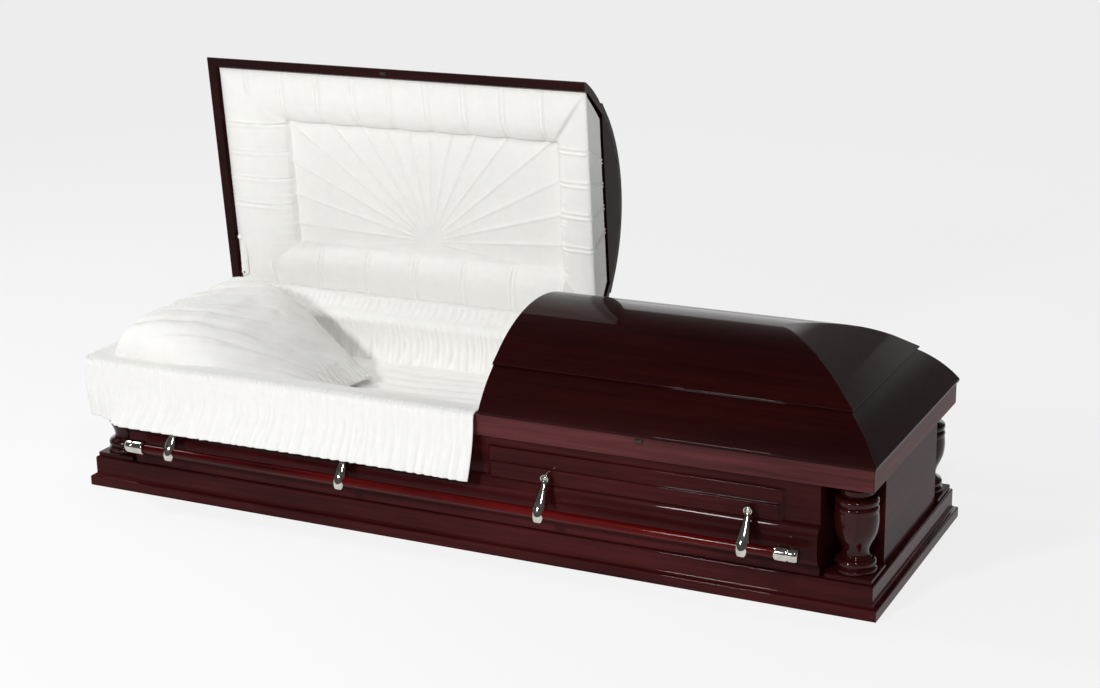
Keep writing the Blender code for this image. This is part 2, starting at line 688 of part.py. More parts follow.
def cap_profile():
    """The bar cap's (radius, height) points, from its rounded end down to its open side."""
    r, l = CAP_RADIUS, CAP_LENGTH
    return [(0, l), (0.80 * r, l), (0.94 * r, 0.93 * l), (0.96 * r, 0.72 * l), (0.90 * r, 0.68 * l),
            (0.90 * r, 0.62 * l), (r, 0.58 * l), (r, 0.10 * l), (0.92 * r, 0), (0, 0)]


def build_handles():
    arm = arm_mesh()
    spots = [sx * x for sx, x in ((-1, HANDLE_X[1]), (-1, HANDLE_X[0]), (1, HANDLE_X[0]), (1, HANDLE_X[1]))]
    for side, word in ((-1, "front"), (1, "back")):
        axis = add_axis(f"{word}_handle_axis", (0, side * PIVOT_Y, HANDLE_HEIGHT), side * HANDLE_REST_DEG)
        ear = ear_mesh(side)
        for number, x in enumerate(spots, 1):
            add_piece(f"ear_{word}_{number}", ear, "nickel", place=(x, side * PIVOT_Y, HANDLE_HEIGHT))
            add_piece(f"arm_{word}_{number}", arm, "nickel", axis, (x, 0, 0))
        bpy.ops.mesh.primitive_cylinder_add(vertices=BAR_SIDES, radius=BAR_RADIUS, depth=2 * BAR_HALF_LENGTH)
        rod = bpy.context.object
        bar = baked_mesh(rod, f"bar_{word}")
        bar.shade_smooth()
        bar.set_sharp_from_angle(angle=math.radians(40))
        add_piece(f"bar_{word}", bar, "bar_wood", axis, (0, 0, -BAR_DROP), (0, math.pi / 2, 0))
        for end, end_word in ((-1, "head"), (1, "foot")):
            place = (end * (BAR_HALF_LENGTH + TOUCH_GAP), 0, -BAR_DROP)
            turned_piece(f"bar_cap_{word}_{end_word}", cap_profile(), "nickel", axis, place,
                         (0, end * math.pi / 2, 0), CAP_STEPS)


def lining_outline(inset):
    """The lining's inner outline: a rectangle with cut corners, twelve points to match the rail's inner one."""
    half_x = WALL_X - WALL_THICKNESS - inset
    half_y = WALL_Y - WALL_THICKNESS - inset
    near_x = half_x - NOTCH - BODY_LINING_CHAMFER / 2
    near_y = half_y - NOTCH - BODY_LINING_CHAMFER / 2
    points = []
    for sx, sy in CORNERS:
        steps = [(half_x, near_y), ((half_x + near_x) / 2, (half_y + near_y) / 2), (near_x, half_y)]
        if sx * sy < 0:
            steps.reverse()
        points += [(sx * x, sy * y) for x, y in steps]
    return points


def build_body_lining():
    low = FLOOR_THICKNESS + BASE_HEIGHT
    high = RAIL_TOP - BODY_LINING_DROP
    outer = rail_inner_outline(CLOTH_GAP)
    inner = lining_outline(BODY_LINING_THICKNESS)
    sections = []
    for (ox, oy), (ix, iy) in zip(outer, inner):
        mid_x, mid_y = (ox + ix) / 2, (oy + iy) / 2
        sections.append([(ox, oy, low), (ix, iy, low), (ix, iy, high - BODY_LINING_ROUND),
                         (mid_x, mid_y, high), (ox, oy, high)])
    add_piece("body_lining", loft("body_lining", sections, ring=True), "crepe")


def build_mattress():
    low = FLOOR_THICKNESS + TOUCH_GAP
    side = BODY_LINING_THICKNESS + CLOTH_GAP
    clear = WALL_Y - WALL_THICKNESS - (HALF_WIDTH - BASE_FRAME_WIDTH) + MATTRESS_CLEAR
    levels = [(low, clear), (MATTRESS_TOP - MATTRESS_ROUND, clear),
              (MATTRESS_TOP - 0.3 * MATTRESS_ROUND, side + 0.3 * MATTRESS_ROUND),
              (MATTRESS_TOP, side + MATTRESS_ROUND)]
    sections = []
    for z, inset in levels:
        inset = max(inset, side)
        sections.append([(x, y, z) for x, y in lining_outline(inset)])
    add_piece("mattress", loft("mattress", sections), "crepe")


def build_pillow():
    """A soft cushion from a coarse cage, its thin edges pinched, leaning up at the head end."""
    bm = bmesh.new()
    bmesh.ops.create_cube(bm, size=2.0)
    bmesh.ops.subdivide_edges(bm, edges=bm.edges[:], cuts=2, use_grid_fill=True)
    for vert in bm.verts:
        edge = max(abs(vert.co.x), abs(vert.co.y)) > 0.99
        swell = PILLOW_CROWN if vert.co.z > 0 else PILLOW_UNDER
        vert.co = Vector((vert.co.x * PILLOW_LENGTH / 2, vert.co.y * PILLOW_WIDTH / 2,
                          vert.co.z * swell * (PILLOW_PINCH if edge else 1.0)))
    mesh = mesh_from(bm, "pillow")
    inner_end = WALL_X - WALL_THICKNESS - BODY_LINING_THICKNESS
    tilt = math.radians(PILLOW_TILT_DEG)
    lift = MATTRESS_TOP + 0.5 * PILLOW_LENGTH * math.sin(tilt) + PILLOW_PINCH * PILLOW_UNDER + CLOTH_GAP
    place = (PILLOW_FROM_END - inner_end, 0, lift)
    pillow = add_piece("pillow", mesh, "crepe", place=place, turn=(0, tilt, 0))
    soft = pillow.modifiers.new("soft", "SUBSURF")
    soft.levels = 1
    soft.render_levels = 1


def overlay_section(flare, drop):
    """(outward, height) points of the cloth over the rail: inner face down, then outer face up."""
    top = RAIL_TOP
    hem = top - drop
    knee = top - OVERLAY_KNEE * drop
    thick = OVERLAY_THICKNESS
    return [(-OVERLAY_REACH_IN, top + TOUCH_GAP * 2), (TOUCH_GAP * 2, top + TOUCH_GAP * 2),
            (TOUCH_GAP * 2 + 0.06 * flare, knee), (TOUCH_GAP * 2 + flare, hem),
            (flare + thick, hem), (0.30 * flare + thick + 0.3 * OVERLAY_PUFF, knee - 0.06 * drop),
            (thick + OVERLAY_PUFF, top - 0.25 * drop), (thick + 0.7 * OVERLAY_PUFF, top - 0.13 * drop),
            (0.5 * OVERLAY_PUFF, top + 0.7 * OVERLAY_PUFF), (-0.4 * OVERLAY_REACH_IN, top + OVERLAY_PUFF),
            (-OVERLAY_REACH_IN, top + thick)]


def build_overlay():
    """The loose cloth that hangs over the front of the rail and round the head end."""
    start = LID_SPLIT - LID_SPLIT_GAP / 2 - OVERLAY_SPLIT_GAP
    turn_start = -(RAIL_X - NOTCH)
    flared = overlay_section(OVERLAY_FLARE, OVERLAY_DROP)
    plain = overlay_section(0, OVERLAY_DROP - OVERLAY_END_LIFT)
    sections = [[(x, -(RAIL_Y + d), z) for d, z in flared] for x in (start, turn_start)]
    sections.append([(-(RAIL_X + d), -(RAIL_Y + d), z) for d, z in plain])
    sections.append([(-(RAIL_X + d), RAIL_Y - OVERLAY_BACK_MARGIN, z) for d, z in plain])
    add_piece("rim_overlay", loft("rim_overlay", sections), "crepe")


build_base()
build_walls()
build_rail()
build_corners()
build_side_mouldings()
build_panels()
build_lids()
build_handles()
build_body_lining()
build_mattress()
build_pillow()
build_overlay()
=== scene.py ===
# %% [markdown]
# A half-couch casket stands on a pale floor with its head lid open. This lesson dresses a set of plain
# solids, the frame, with fine meshes and finishes. The frame gives every place and every size, in metres,
# with +X to the foot end, -Y to the front and +Z up. First the frame is loaded.

# %% Load the frame
import json
import math

import bmesh
import bpy
import numpy as np
from mathutils import Matrix, Vector, noise


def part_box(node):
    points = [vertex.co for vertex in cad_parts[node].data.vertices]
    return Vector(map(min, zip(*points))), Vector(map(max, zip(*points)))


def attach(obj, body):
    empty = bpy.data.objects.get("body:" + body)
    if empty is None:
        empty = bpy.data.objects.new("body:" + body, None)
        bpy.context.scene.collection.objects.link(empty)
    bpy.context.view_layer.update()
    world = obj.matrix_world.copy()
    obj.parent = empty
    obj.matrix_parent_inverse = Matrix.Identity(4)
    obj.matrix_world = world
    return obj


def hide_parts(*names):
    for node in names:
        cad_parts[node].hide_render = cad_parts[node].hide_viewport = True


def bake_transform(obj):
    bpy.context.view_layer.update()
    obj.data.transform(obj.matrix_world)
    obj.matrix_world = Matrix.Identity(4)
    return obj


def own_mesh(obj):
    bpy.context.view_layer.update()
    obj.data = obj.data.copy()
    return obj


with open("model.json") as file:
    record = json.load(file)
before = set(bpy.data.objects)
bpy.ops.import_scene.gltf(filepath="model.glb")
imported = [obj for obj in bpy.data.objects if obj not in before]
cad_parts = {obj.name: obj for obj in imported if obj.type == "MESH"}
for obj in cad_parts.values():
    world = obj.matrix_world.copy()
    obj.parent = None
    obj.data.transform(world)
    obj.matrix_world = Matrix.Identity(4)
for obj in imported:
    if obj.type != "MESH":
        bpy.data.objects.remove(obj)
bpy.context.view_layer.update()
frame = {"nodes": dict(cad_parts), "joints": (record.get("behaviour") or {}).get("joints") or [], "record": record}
NODES = frame["nodes"]

# %% [markdown]
# A camera can be placed by eye, or worked out from the edges of the object. Here the long edges of the
# casket give the direction, height and distance, so the render can be laid over the photograph. The tilt
# about the line of sight is about one degree, which is why the rotation is built from three axes and not
# from two angles alone.

# %% Camera
PHOTO_WIDTH = 1100
FOCAL_PX = 2055.8
SENSOR_MM = 36.0
CAMERA_PLACE = Vector((2.225, -4.3062, 1.9071))
CAMERA_AZIMUTH, CAMERA_HEIGHT, CAMERA_ROLL = (math.radians(a) for a in (26.101, 17.166, -1.0203))


def camera_turn():
    """The camera's rotation, from its azimuth, its angle above the floor and its roll."""
    level = math.cos(CAMERA_HEIGHT)
    back = Vector((math.sin(CAMERA_AZIMUTH) * level, -math.cos(CAMERA_AZIMUTH) * level,
                   math.sin(CAMERA_HEIGHT)))
    right = Vector((math.cos(CAMERA_AZIMUTH), math.sin(CAMERA_AZIMUTH), 0))
    up = back.cross(right)
    c, s = math.cos(CAMERA_ROLL), math.sin(CAMERA_ROLL)
    return Matrix((right * c + up * s, up * c - right * s, back)).transposed()


camera_data = bpy.data.cameras.new("camera")
camera_data.sensor_width = SENSOR_MM
camera_data.lens = FOCAL_PX / PHOTO_WIDTH * SENSOR_MM
camera = bpy.data.objects.new("camera", camera_data)
camera.matrix_world = Matrix.Translation(CAMERA_PLACE) @ camera_turn().to_4x4()
bpy.context.scene.collection.objects.link(camera)
bpy.context.scene.camera = camera
print("lens", round(camera_data.lens, 2), "mm")

# %% [markdown]
# Polished lacquer is seen mostly by what it mirrors, so the room matters as much as the lamps. The upright
# boards mirror the pale floor, the upper slopes mirror a dark ceiling, and the flat crown mirrors the pale
# wall behind. The world is therefore dark, with one pale wall low down behind the casket and to its left.
# Two soft lamps in front give each turned bead its pair of highlights, and a third lights the head end. The
# left lamp stands low, since from higher up its mirror image would lie on the skirt of the lid as a grey
# patch.

# %% Floor, room and lamps
FLOOR_SIZE = 120.0
WALL_TOP = 0.36             # sine of the angle where the pale wall ends
WALL_TOP_BLUR = 0.02
WALL_WAY = (-0.53, 0.85, 0.0)
WALL_SIDE_BLUR = (0.60, 0.78)   # cosines of the angle from WALL_WAY where the wall fades in
ROOM_PALE, ROOM_DARK = 1.7, 0.09
FLOOR_GREY = 0.16
FLOOR_GLOW = 0.80           # a floor that is lit from below has no dim far edge
LAMP_AIM = Vector((0, 0, 0.3))
# azimuth and height in degrees, distance, size, watts
LAMPS = {"left_lamp": (-12, 27, 4.6, 0.5, 107),
         "right_lamp": (33, 42, 4.6, 0.5, 47),
         "head_end_lamp": (-88, 42, 4.2, 0.7, 50)}


def set_inputs(node, **values):
    """Set a node's input values by name, with _ for each space."""
    for name, value in values.items():
        node.inputs[name.replace("_", " ")].default_value = value
    return node


def node_at(tree, kind, **values):
    """A new node with its input values set by name."""
    return set_inputs(tree.nodes.new(kind), **values)


def new_finish(name):
    """An empty finish, with its node tree and its shader."""
    finish = bpy.data.materials.new(name)
    finish.use_nodes = True
    return finish, finish.node_tree, finish.node_tree.nodes["Principled BSDF"]


def build_floor():
    bpy.ops.mesh.primitive_plane_add(size=FLOOR_SIZE)
    floor = bpy.context.object
    floor.name = "studio_floor"
    finish, _, shader = new_finish("floor_paint")
    set_inputs(shader, Base_Color=(FLOOR_GREY, FLOOR_GREY, FLOOR_GREY, 1), Roughness=0.9,
               Specular_IOR_Level=0.1, Emission_Color=(1, 1, 1, 1), Emission_Strength=FLOOR_GLOW)
    floor.data.materials.append(finish)


def build_room():
    """A dim world with one pale wall, low down behind the casket and to its left."""
    world = bpy.data.worlds.new("room")
    bpy.context.scene.world = world
    world.use_nodes = True
    tree = world.node_tree
    link = tree.links.new
    direction = tree.nodes.new("ShaderNodeTexCoord")
    split = tree.nodes.new("ShaderNodeSeparateXYZ")
    link(direction.outputs["Generated"], split.inputs[0])
    below_top = node_at(tree, "ShaderNodeMapRange", From_Min=WALL_TOP + WALL_TOP_BLUR,
                        From_Max=WALL_TOP - WALL_TOP_BLUR)
    link(split.outputs["Z"], below_top.inputs["Value"])
    toward = tree.nodes.new("ShaderNodeVectorMath")
    toward.operation = "DOT_PRODUCT"
    toward.inputs[1].default_value = WALL_WAY
    link(direction.outputs["Generated"], toward.inputs[0])
    on_wall = node_at(tree, "ShaderNodeMapRange", From_Min=WALL_SIDE_BLUR[0], From_Max=WALL_SIDE_BLUR[1],
                      To_Max=ROOM_PALE - ROOM_DARK)
    on_wall.interpolation_type = "SMOOTHSTEP"
    link(toward.outputs["Value"], on_wall.inputs["Value"])
    wall = tree.nodes.new("ShaderNodeMath")
    wall.operation = "MULTIPLY_ADD"
    wall.inputs[2].default_value = ROOM_DARK
    link(below_top.outputs["Result"], wall.inputs[0])
    link(on_wall.outputs["Result"], wall.inputs[1])
    background = set_inputs(tree.nodes["Background"], Color=(1, 1, 1, 1))
    link(wall.outputs["Value"], background.inputs["Strength"])


def add_lamp(name, azimuth, height, distance, size, watts):
    """A square soft lamp that looks at the casket; azimuth 0 is straight in front, both angles in degrees."""
    data = bpy.data.lights.new(name, "AREA")
    data.shape = "SQUARE"
    data.size = size
    data.energy = watts
    lamp = bpy.data.objects.new(name, data)
    turn, rise = math.radians(azimuth), math.radians(height)
    away = Vector((math.sin(turn) * math.cos(rise), -math.cos(turn) * math.cos(rise), math.sin(rise)))
    lamp.location = LAMP_AIM + away * distance
    lamp.rotation_euler = away.to_track_quat("Z", "Y").to_euler()
    bpy.context.scene.collection.objects.link(lamp)


build_floor()
build_room()
for name, facts in LAMPS.items():
    add_lamp(name, *facts)
bpy.context.scene.view_settings.view_transform = "Standard"

# %% [markdown]
# Every finish below is built from the same few parts: noise in the object's own coordinates, a ramp that
# turns its values into tones, and a bump that turns them into relief. Wood needs noise that is drawn out
# along the grain, so one helper takes an axis and two scales. With the wiring in one place, each finish
# reads like a list of what can be seen on it.

# %% Helpers for finishes
def stretched_noise(tree, place, along, scale_along, scale_across, **values):
    """Noise that is drawn out along one axis."""
    stretch = tree.nodes.new("ShaderNodeMapping")
    scales = [scale_along if axis == along else scale_across for axis in range(3)]
    stretch.inputs["Scale"].default_value = scales
    tree.links.new(place.outputs["Object"], stretch.inputs["Vector"])
    texture = node_at(tree, "ShaderNodeTexNoise", Scale=1.0, **values)
    tree.links.new(stretch.outputs["Vector"], texture.inputs["Vector"])
    return texture


def plain_noise(tree, place, **values):
    """Noise that is the same in every direction."""
    texture = node_at(tree, "ShaderNodeTexNoise", **values)
    tree.links.new(place.outputs["Object"], texture.inputs["Vector"])
    return texture


def tone_ramp(tree, source, shader, stops, colours):
    """Colour the shader by a ramp over a source value."""
    ramp = tree.nodes.new("ShaderNodeValToRGB")
    for _ in range(len(stops) - 2):
        ramp.color_ramp.elements.new(0.5)
    for stop, position, colour in zip(ramp.color_ramp.elements, stops, colours):
        stop.position = position
        stop.color = (*colour, 1)
    tree.links.new(source, ramp.inputs["Fac"])
    tree.links.new(ramp.outputs["Color"], shader.inputs["Base Color"])


def relief(tree, texture, strength, distance, under=None):
    """The normal of a bump from a texture, laid over another normal if one is given."""
    bump = node_at(tree, "ShaderNodeBump", Strength=strength, Distance=distance)
    tree.links.new(texture.outputs["Fac"], bump.inputs["Height"])
    if under:
        tree.links.new(under, bump.inputs["Normal"])
    return bump.outputs["Normal"]


print("helpers", stretched_noise.__name__, plain_noise.__name__, tone_ramp.__name__, relief.__name__)

# %% [markdown]
# The wood is stained dark cherry under a thick polished lacquer. One board's grain runs along its length,
# so the same finish is made once for each direction that a board can lie in. Long streaks of noise give the
# grain, broad patches give the stain's unevenness, and a clear coat gives the mirror. The lids, the body,
# the top rail and the posts each have tones of their own, a little lighter or darker. The rail's tones are
# partly its stain and partly painted light: they are lighter and redder for the light that the floor throws
# up onto its upright front. The coat is weaker on the boards that lie across, because those mirror the pale
# floor. Within one finish it is a single value, and only the colour and the faint waviness of the lacquer
# come from textures.

# %% Wood finishes
LID_COLOURS = ((0.0100, 0.0010, 0.0010), (0.0155, 0.0015, 0.0016), (0.0230, 0.0025, 0.0023))
BODY_COLOURS = ((0.0190, 0.0026, 0.0028), (0.0380, 0.0052, 0.0056), (0.0680, 0.0100, 0.0105))
POST_COLOURS = ((0.0120, 0.0016, 0.0017), (0.0240, 0.0030, 0.0032), (0.0420, 0.0055, 0.0058))
# the rail's tones: partly its stain, partly painted light from the floor's bounce on its upright front
RAIL_STAIN_AND_PAINTED_LIGHT = ((0.042, 0.011, 0.012), (0.078, 0.020, 0.021), (0.120, 0.031, 0.033))
# the bar's tones: red grain whose brightest streaks are partly painted highlight
BAR_GRAIN_AND_PAINTED_HIGHLIGHT = ((0.022, 0.0010, 0.0010), (0.065, 0.0020, 0.0020), (0.140, 0.0040, 0.0040))
PLAIN_BOARD = ((0.20, 0.12, 0.065), (0.30, 0.19, 0.11), (0.38, 0.26, 0.16))
GRAIN_ALONG, GRAIN_ACROSS = 3.2, 95.0      # noise scale along and across the grain
PATCH_ALONG, PATCH_ACROSS = 1.6, 9.0


def wood_finish(name, along, colours, coat=0.62, coat_roughness=0.025, coat_ior=1.21, roughness=0.4,
                fineness=1.0):
    """Stained wood with its grain along one axis (0, 1 or 2)."""
    finish, tree, shader = new_finish(name)
    link = tree.links.new
    place = tree.nodes.new("ShaderNodeTexCoord")
    grain = stretched_noise(tree, place, along, GRAIN_ALONG, GRAIN_ACROSS * fineness, Detail=9.0,
                            Roughness=0.62, Distortion=0.35)
    patch = stretched_noise(tree, place, along, PATCH_ALONG, PATCH_ACROSS, Detail=3.0, Roughness=0.5)
    blend = node_at(tree, "ShaderNodeMix", Factor=0.55)
    link(grain.outputs["Fac"], blend.inputs[2])
    link(patch.outputs["Fac"], blend.inputs[3])
    tone_ramp(tree, blend.outputs[0], shader, (0.36, 0.50, 0.66), colours)
    wave = plain_noise(tree, place, Scale=7.0, Detail=1.0)
    link(relief(tree, wave, 0.05, 0.004), shader.inputs["Coat Normal"])
    link(relief(tree, grain, 0.12, 0.0004), shader.inputs["Normal"])
    set_inputs(shader, Roughness=roughness, Specular_IOR_Level=0.02, Coat_Weight=coat,
               Coat_Roughness=coat_roughness, Coat_IOR=coat_ior)
    return finish


def finish_set(name, colours, coats):
    """The same stain with its grain along X, Y and, if a third coat is given, Z."""
    return [wood_finish(f"{name}_{axis}", number, colours, coat=coat)
            for number, (axis, coat) in enumerate(zip("xyz", coats))]


CHERRY = finish_set("cherry_lacquer", LID_COLOURS, (0.62, 0.30, 0.62))
BODY_CHERRY = finish_set("red_cherry_lacquer", BODY_COLOURS, (0.46, 0.22, 0.62))
# the rail's finish carries painted light in its colour, besides its stain
RAIL_LACQUER_AND_PAINTED_LIGHT = finish_set("rail_lacquer_painted_light", RAIL_STAIN_AND_PAINTED_LIGHT, (0.46, 0.22))
POST_CHERRY = wood_finish("post_lacquer", 2, POST_COLOURS, coat=0.80, coat_ior=1.32)
# the bar's bright red streaks are partly grain and partly painted highlight
BAR_WOOD_AND_PAINTED_HIGHLIGHT = wood_finish("red_bar_lacquer_painted_highlight", 0, BAR_GRAIN_AND_PAINTED_HIGHLIGHT, coat_roughness=0.05, fineness=1.6)
BOARD_WOOD = wood_finish("bare_board", 0, PLAIN_BOARD, coat=0.0, roughness=0.7)
print("wood finishes", len(CHERRY + BODY_CHERRY + RAIL_LACQUER_AND_PAINTED_LIGHT) + 3)

# %% [markdown]
# The arms, ears and bar caps are nickel-plated and polished: a metal with a slightly warm grey, almost a
# mirror, with faint clouding from handling. The hinges and catches are a dark plated steel with fine rubbed
# marks.

# %% Metal finishes
def metal_finish(name, colour, dull, roughness, mark_scale, mark_depth):
    """Plated metal: two near tones in soft clouds, roughness that follows them, and fine marks."""
    finish, tree, shader = new_finish(name)
    link = tree.links.new
    place = tree.nodes.new("ShaderNodeTexCoord")
    cloud = plain_noise(tree, place, Scale=60.0, Detail=4.0)
    marks = plain_noise(tree, place, Scale=mark_scale, Detail=6.0, Roughness=0.7)
    tone_ramp(tree, cloud.outputs["Fac"], shader, (0.35, 0.65), (dull, colour))
    shine = node_at(tree, "ShaderNodeMapRange", To_Min=roughness * 0.7, To_Max=roughness * 1.4)
    link(cloud.outputs["Fac"], shine.inputs["Value"])
    link(shine.outputs["Result"], shader.inputs["Roughness"])
    link(relief(tree, marks, mark_depth, 0.0002), shader.inputs["Normal"])
    set_inputs(shader, Metallic=1.0)
    return finish


NICKEL = metal_finish("polished_nickel", (0.64, 0.62, 0.57), (0.50, 0.48, 0.44), 0.075, 900.0, 0.08)
DARK_STEEL = metal_finish("dark_plated_steel", (0.060, 0.056, 0.052), (0.030, 0.028, 0.026), 0.34, 700.0,
                          0.25)
print("metal finishes", NICKEL.name, DARK_STEEL.name)

# %% [markdown]
# Almost every piece here is a grid of points with faces between them: a moulding is a profile carried past
# a few stations, and a turned post is a profile carried round. One helper skins any such grid. Another
# rounds the corners of an outline with true arcs, because on a polished piece the small rounded edges are
# what catches the light.

# %% Grids, rounded outlines and pieces
SMOOTH_DEG = 32


def skin(name, rows, wrap_rows=False, wrap_columns=False, cap=False, grains=None, smooth_deg=SMOOTH_DEG,
         open_column=None):
    """A mesh over rows of points; grains gives the finish number of each span between two rows."""
    bm = bmesh.new()
    grid = [[bm.verts.new(point) for point in row] for row in rows]
    spans = list(zip(grid, grid[1:])) + ([(grid[-1], grid[0])] if wrap_rows else [])
    columns = len(grid[0])
    for number, (here, there) in enumerate(spans):
        for i in range(columns if wrap_columns else columns - 1):
            j = (i + 1) % columns
            if i == open_column:
                continue
            face = bm.faces.new((here[i], here[j], there[j], there[i]))
            face.material_index = grains[number] if grains else 0
    if cap:
        bm.faces.new(grid[0])
        bm.faces.new(grid[-1])
    bmesh.ops.remove_doubles(bm, verts=bm.verts, dist=1e-6)
    bmesh.ops.recalc_face_normals(bm, faces=bm.faces)
    return shaded_mesh(bm, name, smooth_deg)


def shaded_mesh(bm, name, smooth_deg=SMOOTH_DEG):
    mesh = bpy.data.meshes.new(name)
    bm.to_mesh(mesh)
    bm.free()
    mesh.shade_smooth()
    if smooth_deg:
        mesh.set_sharp_from_angle(angle=math.radians(smooth_deg))
    return mesh


def rounded(corners, closed=True, step_deg=15):
    """Points of an outline given as (across, up, radius) corners, each corner replaced by an arc."""
    points = []
    for i, (across, up, radius) in enumerate(corners):
        here = Vector((across, up))
        if not radius or (not closed and i in (0, len(corners) - 1)):
            points.append((across, up))
            continue
        before = (Vector(corners[i - 1][:2]) - here).normalized()
        after = (Vector(corners[(i + 1) % len(corners)][:2]) - here).normalized()
        half = before.angle(after) / 2
        centre = here + (before + after).normalized() * radius / math.sin(half)
        start, end = here + before * radius / math.tan(half), here + after * radius / math.tan(half)
        first = math.atan2(start.y - centre.y, start.x - centre.x)
        last = math.atan2(end.y - centre.y, end.x - centre.x)
        sweep = (last - first + math.pi) % (2 * math.pi) - math.pi
        segments = max(2, math.ceil(abs(math.degrees(sweep)) / step_deg))
        for k in range(segments + 1):
            angle = first + sweep * k / segments
            points.append((centre.x + radius * math.cos(angle), centre.y + radius * math.sin(angle)))
    return points


def add_piece(name, mesh, body, finishes, nodes=(), weighted=True):
    """Link a mesh as a piece that rides on a body, with its finishes and the CAD nodes that it stands for."""
    piece = bpy.data.objects.new(name, mesh)
    bpy.context.scene.collection.objects.link(piece)
    mesh.materials.clear()
    for finish in finishes:
        mesh.materials.append(finish)
    if weighted:
        piece.modifiers.new("flat_faces_stay_flat", "WEIGHTED_NORMAL").keep_sharp = True
    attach(piece, body)
    if nodes:
        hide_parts(*nodes)
    return piece


CORNERS = ((-1, -1), (1, -1), (1, 1), (-1, 1))
CORNER_NAMES = {(-1, -1): "front_head", (1, -1): "front_foot", (1, 1): "back_foot", (-1, 1): "back_head"}
END_GRAINS = (0, 1, 0, 1)   # along X at the front and back, along Y at the two ends
print("outline test", len(rounded([(0, 0, 0.1), (1, 0, 0.1), (1, 1, 0.1)])), "points")

# %% [markdown]
# The base is a mitred frame. Its profile has a low upright face with a rounded top, a cove, and a taller
# upright face with a rounded top, then a narrow ledge up to the walls. A profile carried round the four
# mitres gives the true joint at every corner, which a scaled box with bevels would not. The floor board
# closes it below.

# %% Base moulding and floor board
BASE_FOOT_HEIGHT = 0.0262
BASE_COVE_DEPTH = 0.0125
BASE_COVE_RADIUS = 0.0083
BASE_TOP_ROUND = 0.0048
BASE_FOOT_ROUND = 0.0040
TOUCH_GAP = 0.0003


def frame_rows(half_x, half_y, profile):
    """A profile of (inset, height) points on the four mitres of a rectangle."""
    return [[(sx * (half_x - i), sy * (half_y - i), z) for i, z in profile] for sx, sy in CORNERS]


base_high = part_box("base_moulding")[1]
base_width = base_high.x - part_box("floor_board")[1].x - TOUCH_GAP
base_profile = rounded([(0, 0, 0.0006), (0, BASE_FOOT_HEIGHT, BASE_FOOT_ROUND),
                        (BASE_COVE_DEPTH, BASE_FOOT_HEIGHT, BASE_COVE_RADIUS),
                        (BASE_COVE_DEPTH, base_high.z, BASE_TOP_ROUND), (base_width, base_high.z, 0),
                        (base_width, 0, 0)])
base_rows = frame_rows(base_high.x, base_high.y, base_profile)
base_mesh = skin("base_frame", base_rows, wrap_rows=True, wrap_columns=True, grains=END_GRAINS)
add_piece("base_frame", base_mesh, "root", BODY_CHERRY, ["base_moulding"])
print("base profile", len(base_profile), "points, frame width", round(base_width, 4))

# %% [markdown]
# Flat boards need only their edges eased. Each is a copy of the frame's own solid with the faceted
# triangles joined back into whole faces, so its size can't drift from the solid's, and a small bevel then
# rounds every edge.

# %% Flat boards with eased edges
BOARD_EASE = 0.0014
THIN_BOARD_EASE = 0.0010
PLINTH_EASE = 0.0012
RAIL_EASE = 0.0022
HINGE_EASE = 0.0003
FLAT_BOARDS = {"floor_board": ("floor_wood", BOARD_WOOD, THIN_BOARD_EASE),
               "front_wall": ("gloss_wood", BODY_CHERRY[0], BOARD_EASE),
               "back_wall": ("gloss_wood", BODY_CHERRY[0], BOARD_EASE),
               "head_end_wall": ("gloss_wood", BODY_CHERRY[1], BOARD_EASE),
               "foot_end_wall": ("gloss_wood", BODY_CHERRY[1], BOARD_EASE),
               "head_header": ("gloss_wood", CHERRY[1], THIN_BOARD_EASE),
               "foot_header": ("gloss_wood", CHERRY[1], THIN_BOARD_EASE),
               "foot_catch": ("dark_metal", DARK_STEEL, 0.0008),
               "head_catch": ("dark_metal", DARK_STEEL, 0.0003)}


def eased_copy(node, ease):
    """A copy of a CAD node with its coplanar triangles joined, and its edges bevelled."""
    bm = bmesh.new()
    bm.from_mesh(NODES[node].data)
    bmesh.ops.remove_doubles(bm, verts=bm.verts, dist=1e-5)
    bmesh.ops.dissolve_limit(bm, angle_limit=math.radians(1.5), verts=bm.verts, edges=bm.edges)
    sharp = [edge for edge in bm.edges if edge.is_manifold and edge.calc_face_angle(0) > math.radians(30)]
    bmesh.ops.bevel(bm, geom=sharp, offset=ease, segments=3, profile=0.5, affect="EDGES", clamp_overlap=True)
    bmesh.ops.recalc_face_normals(bm, faces=bm.faces)
    return shaded_mesh(bm, f"{node}_eased")


bodies = frame["record"]["behaviour"]["bodies"]
body_of_node = {node: body for body, nodes in bodies.items() for node in nodes}
for node, (slot, finish, ease) in FLAT_BOARDS.items():
    add_piece(f"{node}_eased", eased_copy(node, ease), body_of_node[node], [finish], [node])
for corner in CORNER_NAMES.values():
    node = f"corner_plinth_{corner}"
    add_piece(f"{node}_eased", eased_copy(node, PLINTH_EASE), "root", [BODY_CHERRY[0]], [node])
print("flat boards", len(FLAT_BOARDS) + len(CORNERS))

# %% [markdown]
# The top rail is a flat band that stands proud of the walls, with mitred corners. Its inner edge follows
# the walls' notches, so its solid is copied too. The faces that look to the head or the foot take the grain
# that runs across.

# %% Top rail
rail_mesh = eased_copy("top_rail", RAIL_EASE)
add_piece("top_rail_eased", rail_mesh, "root", RAIL_LACQUER_AND_PAINTED_LIGHT, ["top_rail"])
for face in rail_mesh.polygons:
    face.material_index = 1 if abs(face.normal.x) > 0.7 else 0
print("rail faces across", sum(face.material_index for face in rail_mesh.polygons))

# %% [markdown]
# Each side has a large half-round moulding low down and, above it, two raised panels of two steps whose
# ends are mitred back. Both are profiles between two end stations. The panels' edges are rounded by about
# two millimetres, which gives the two thin bright lines along the top of each.

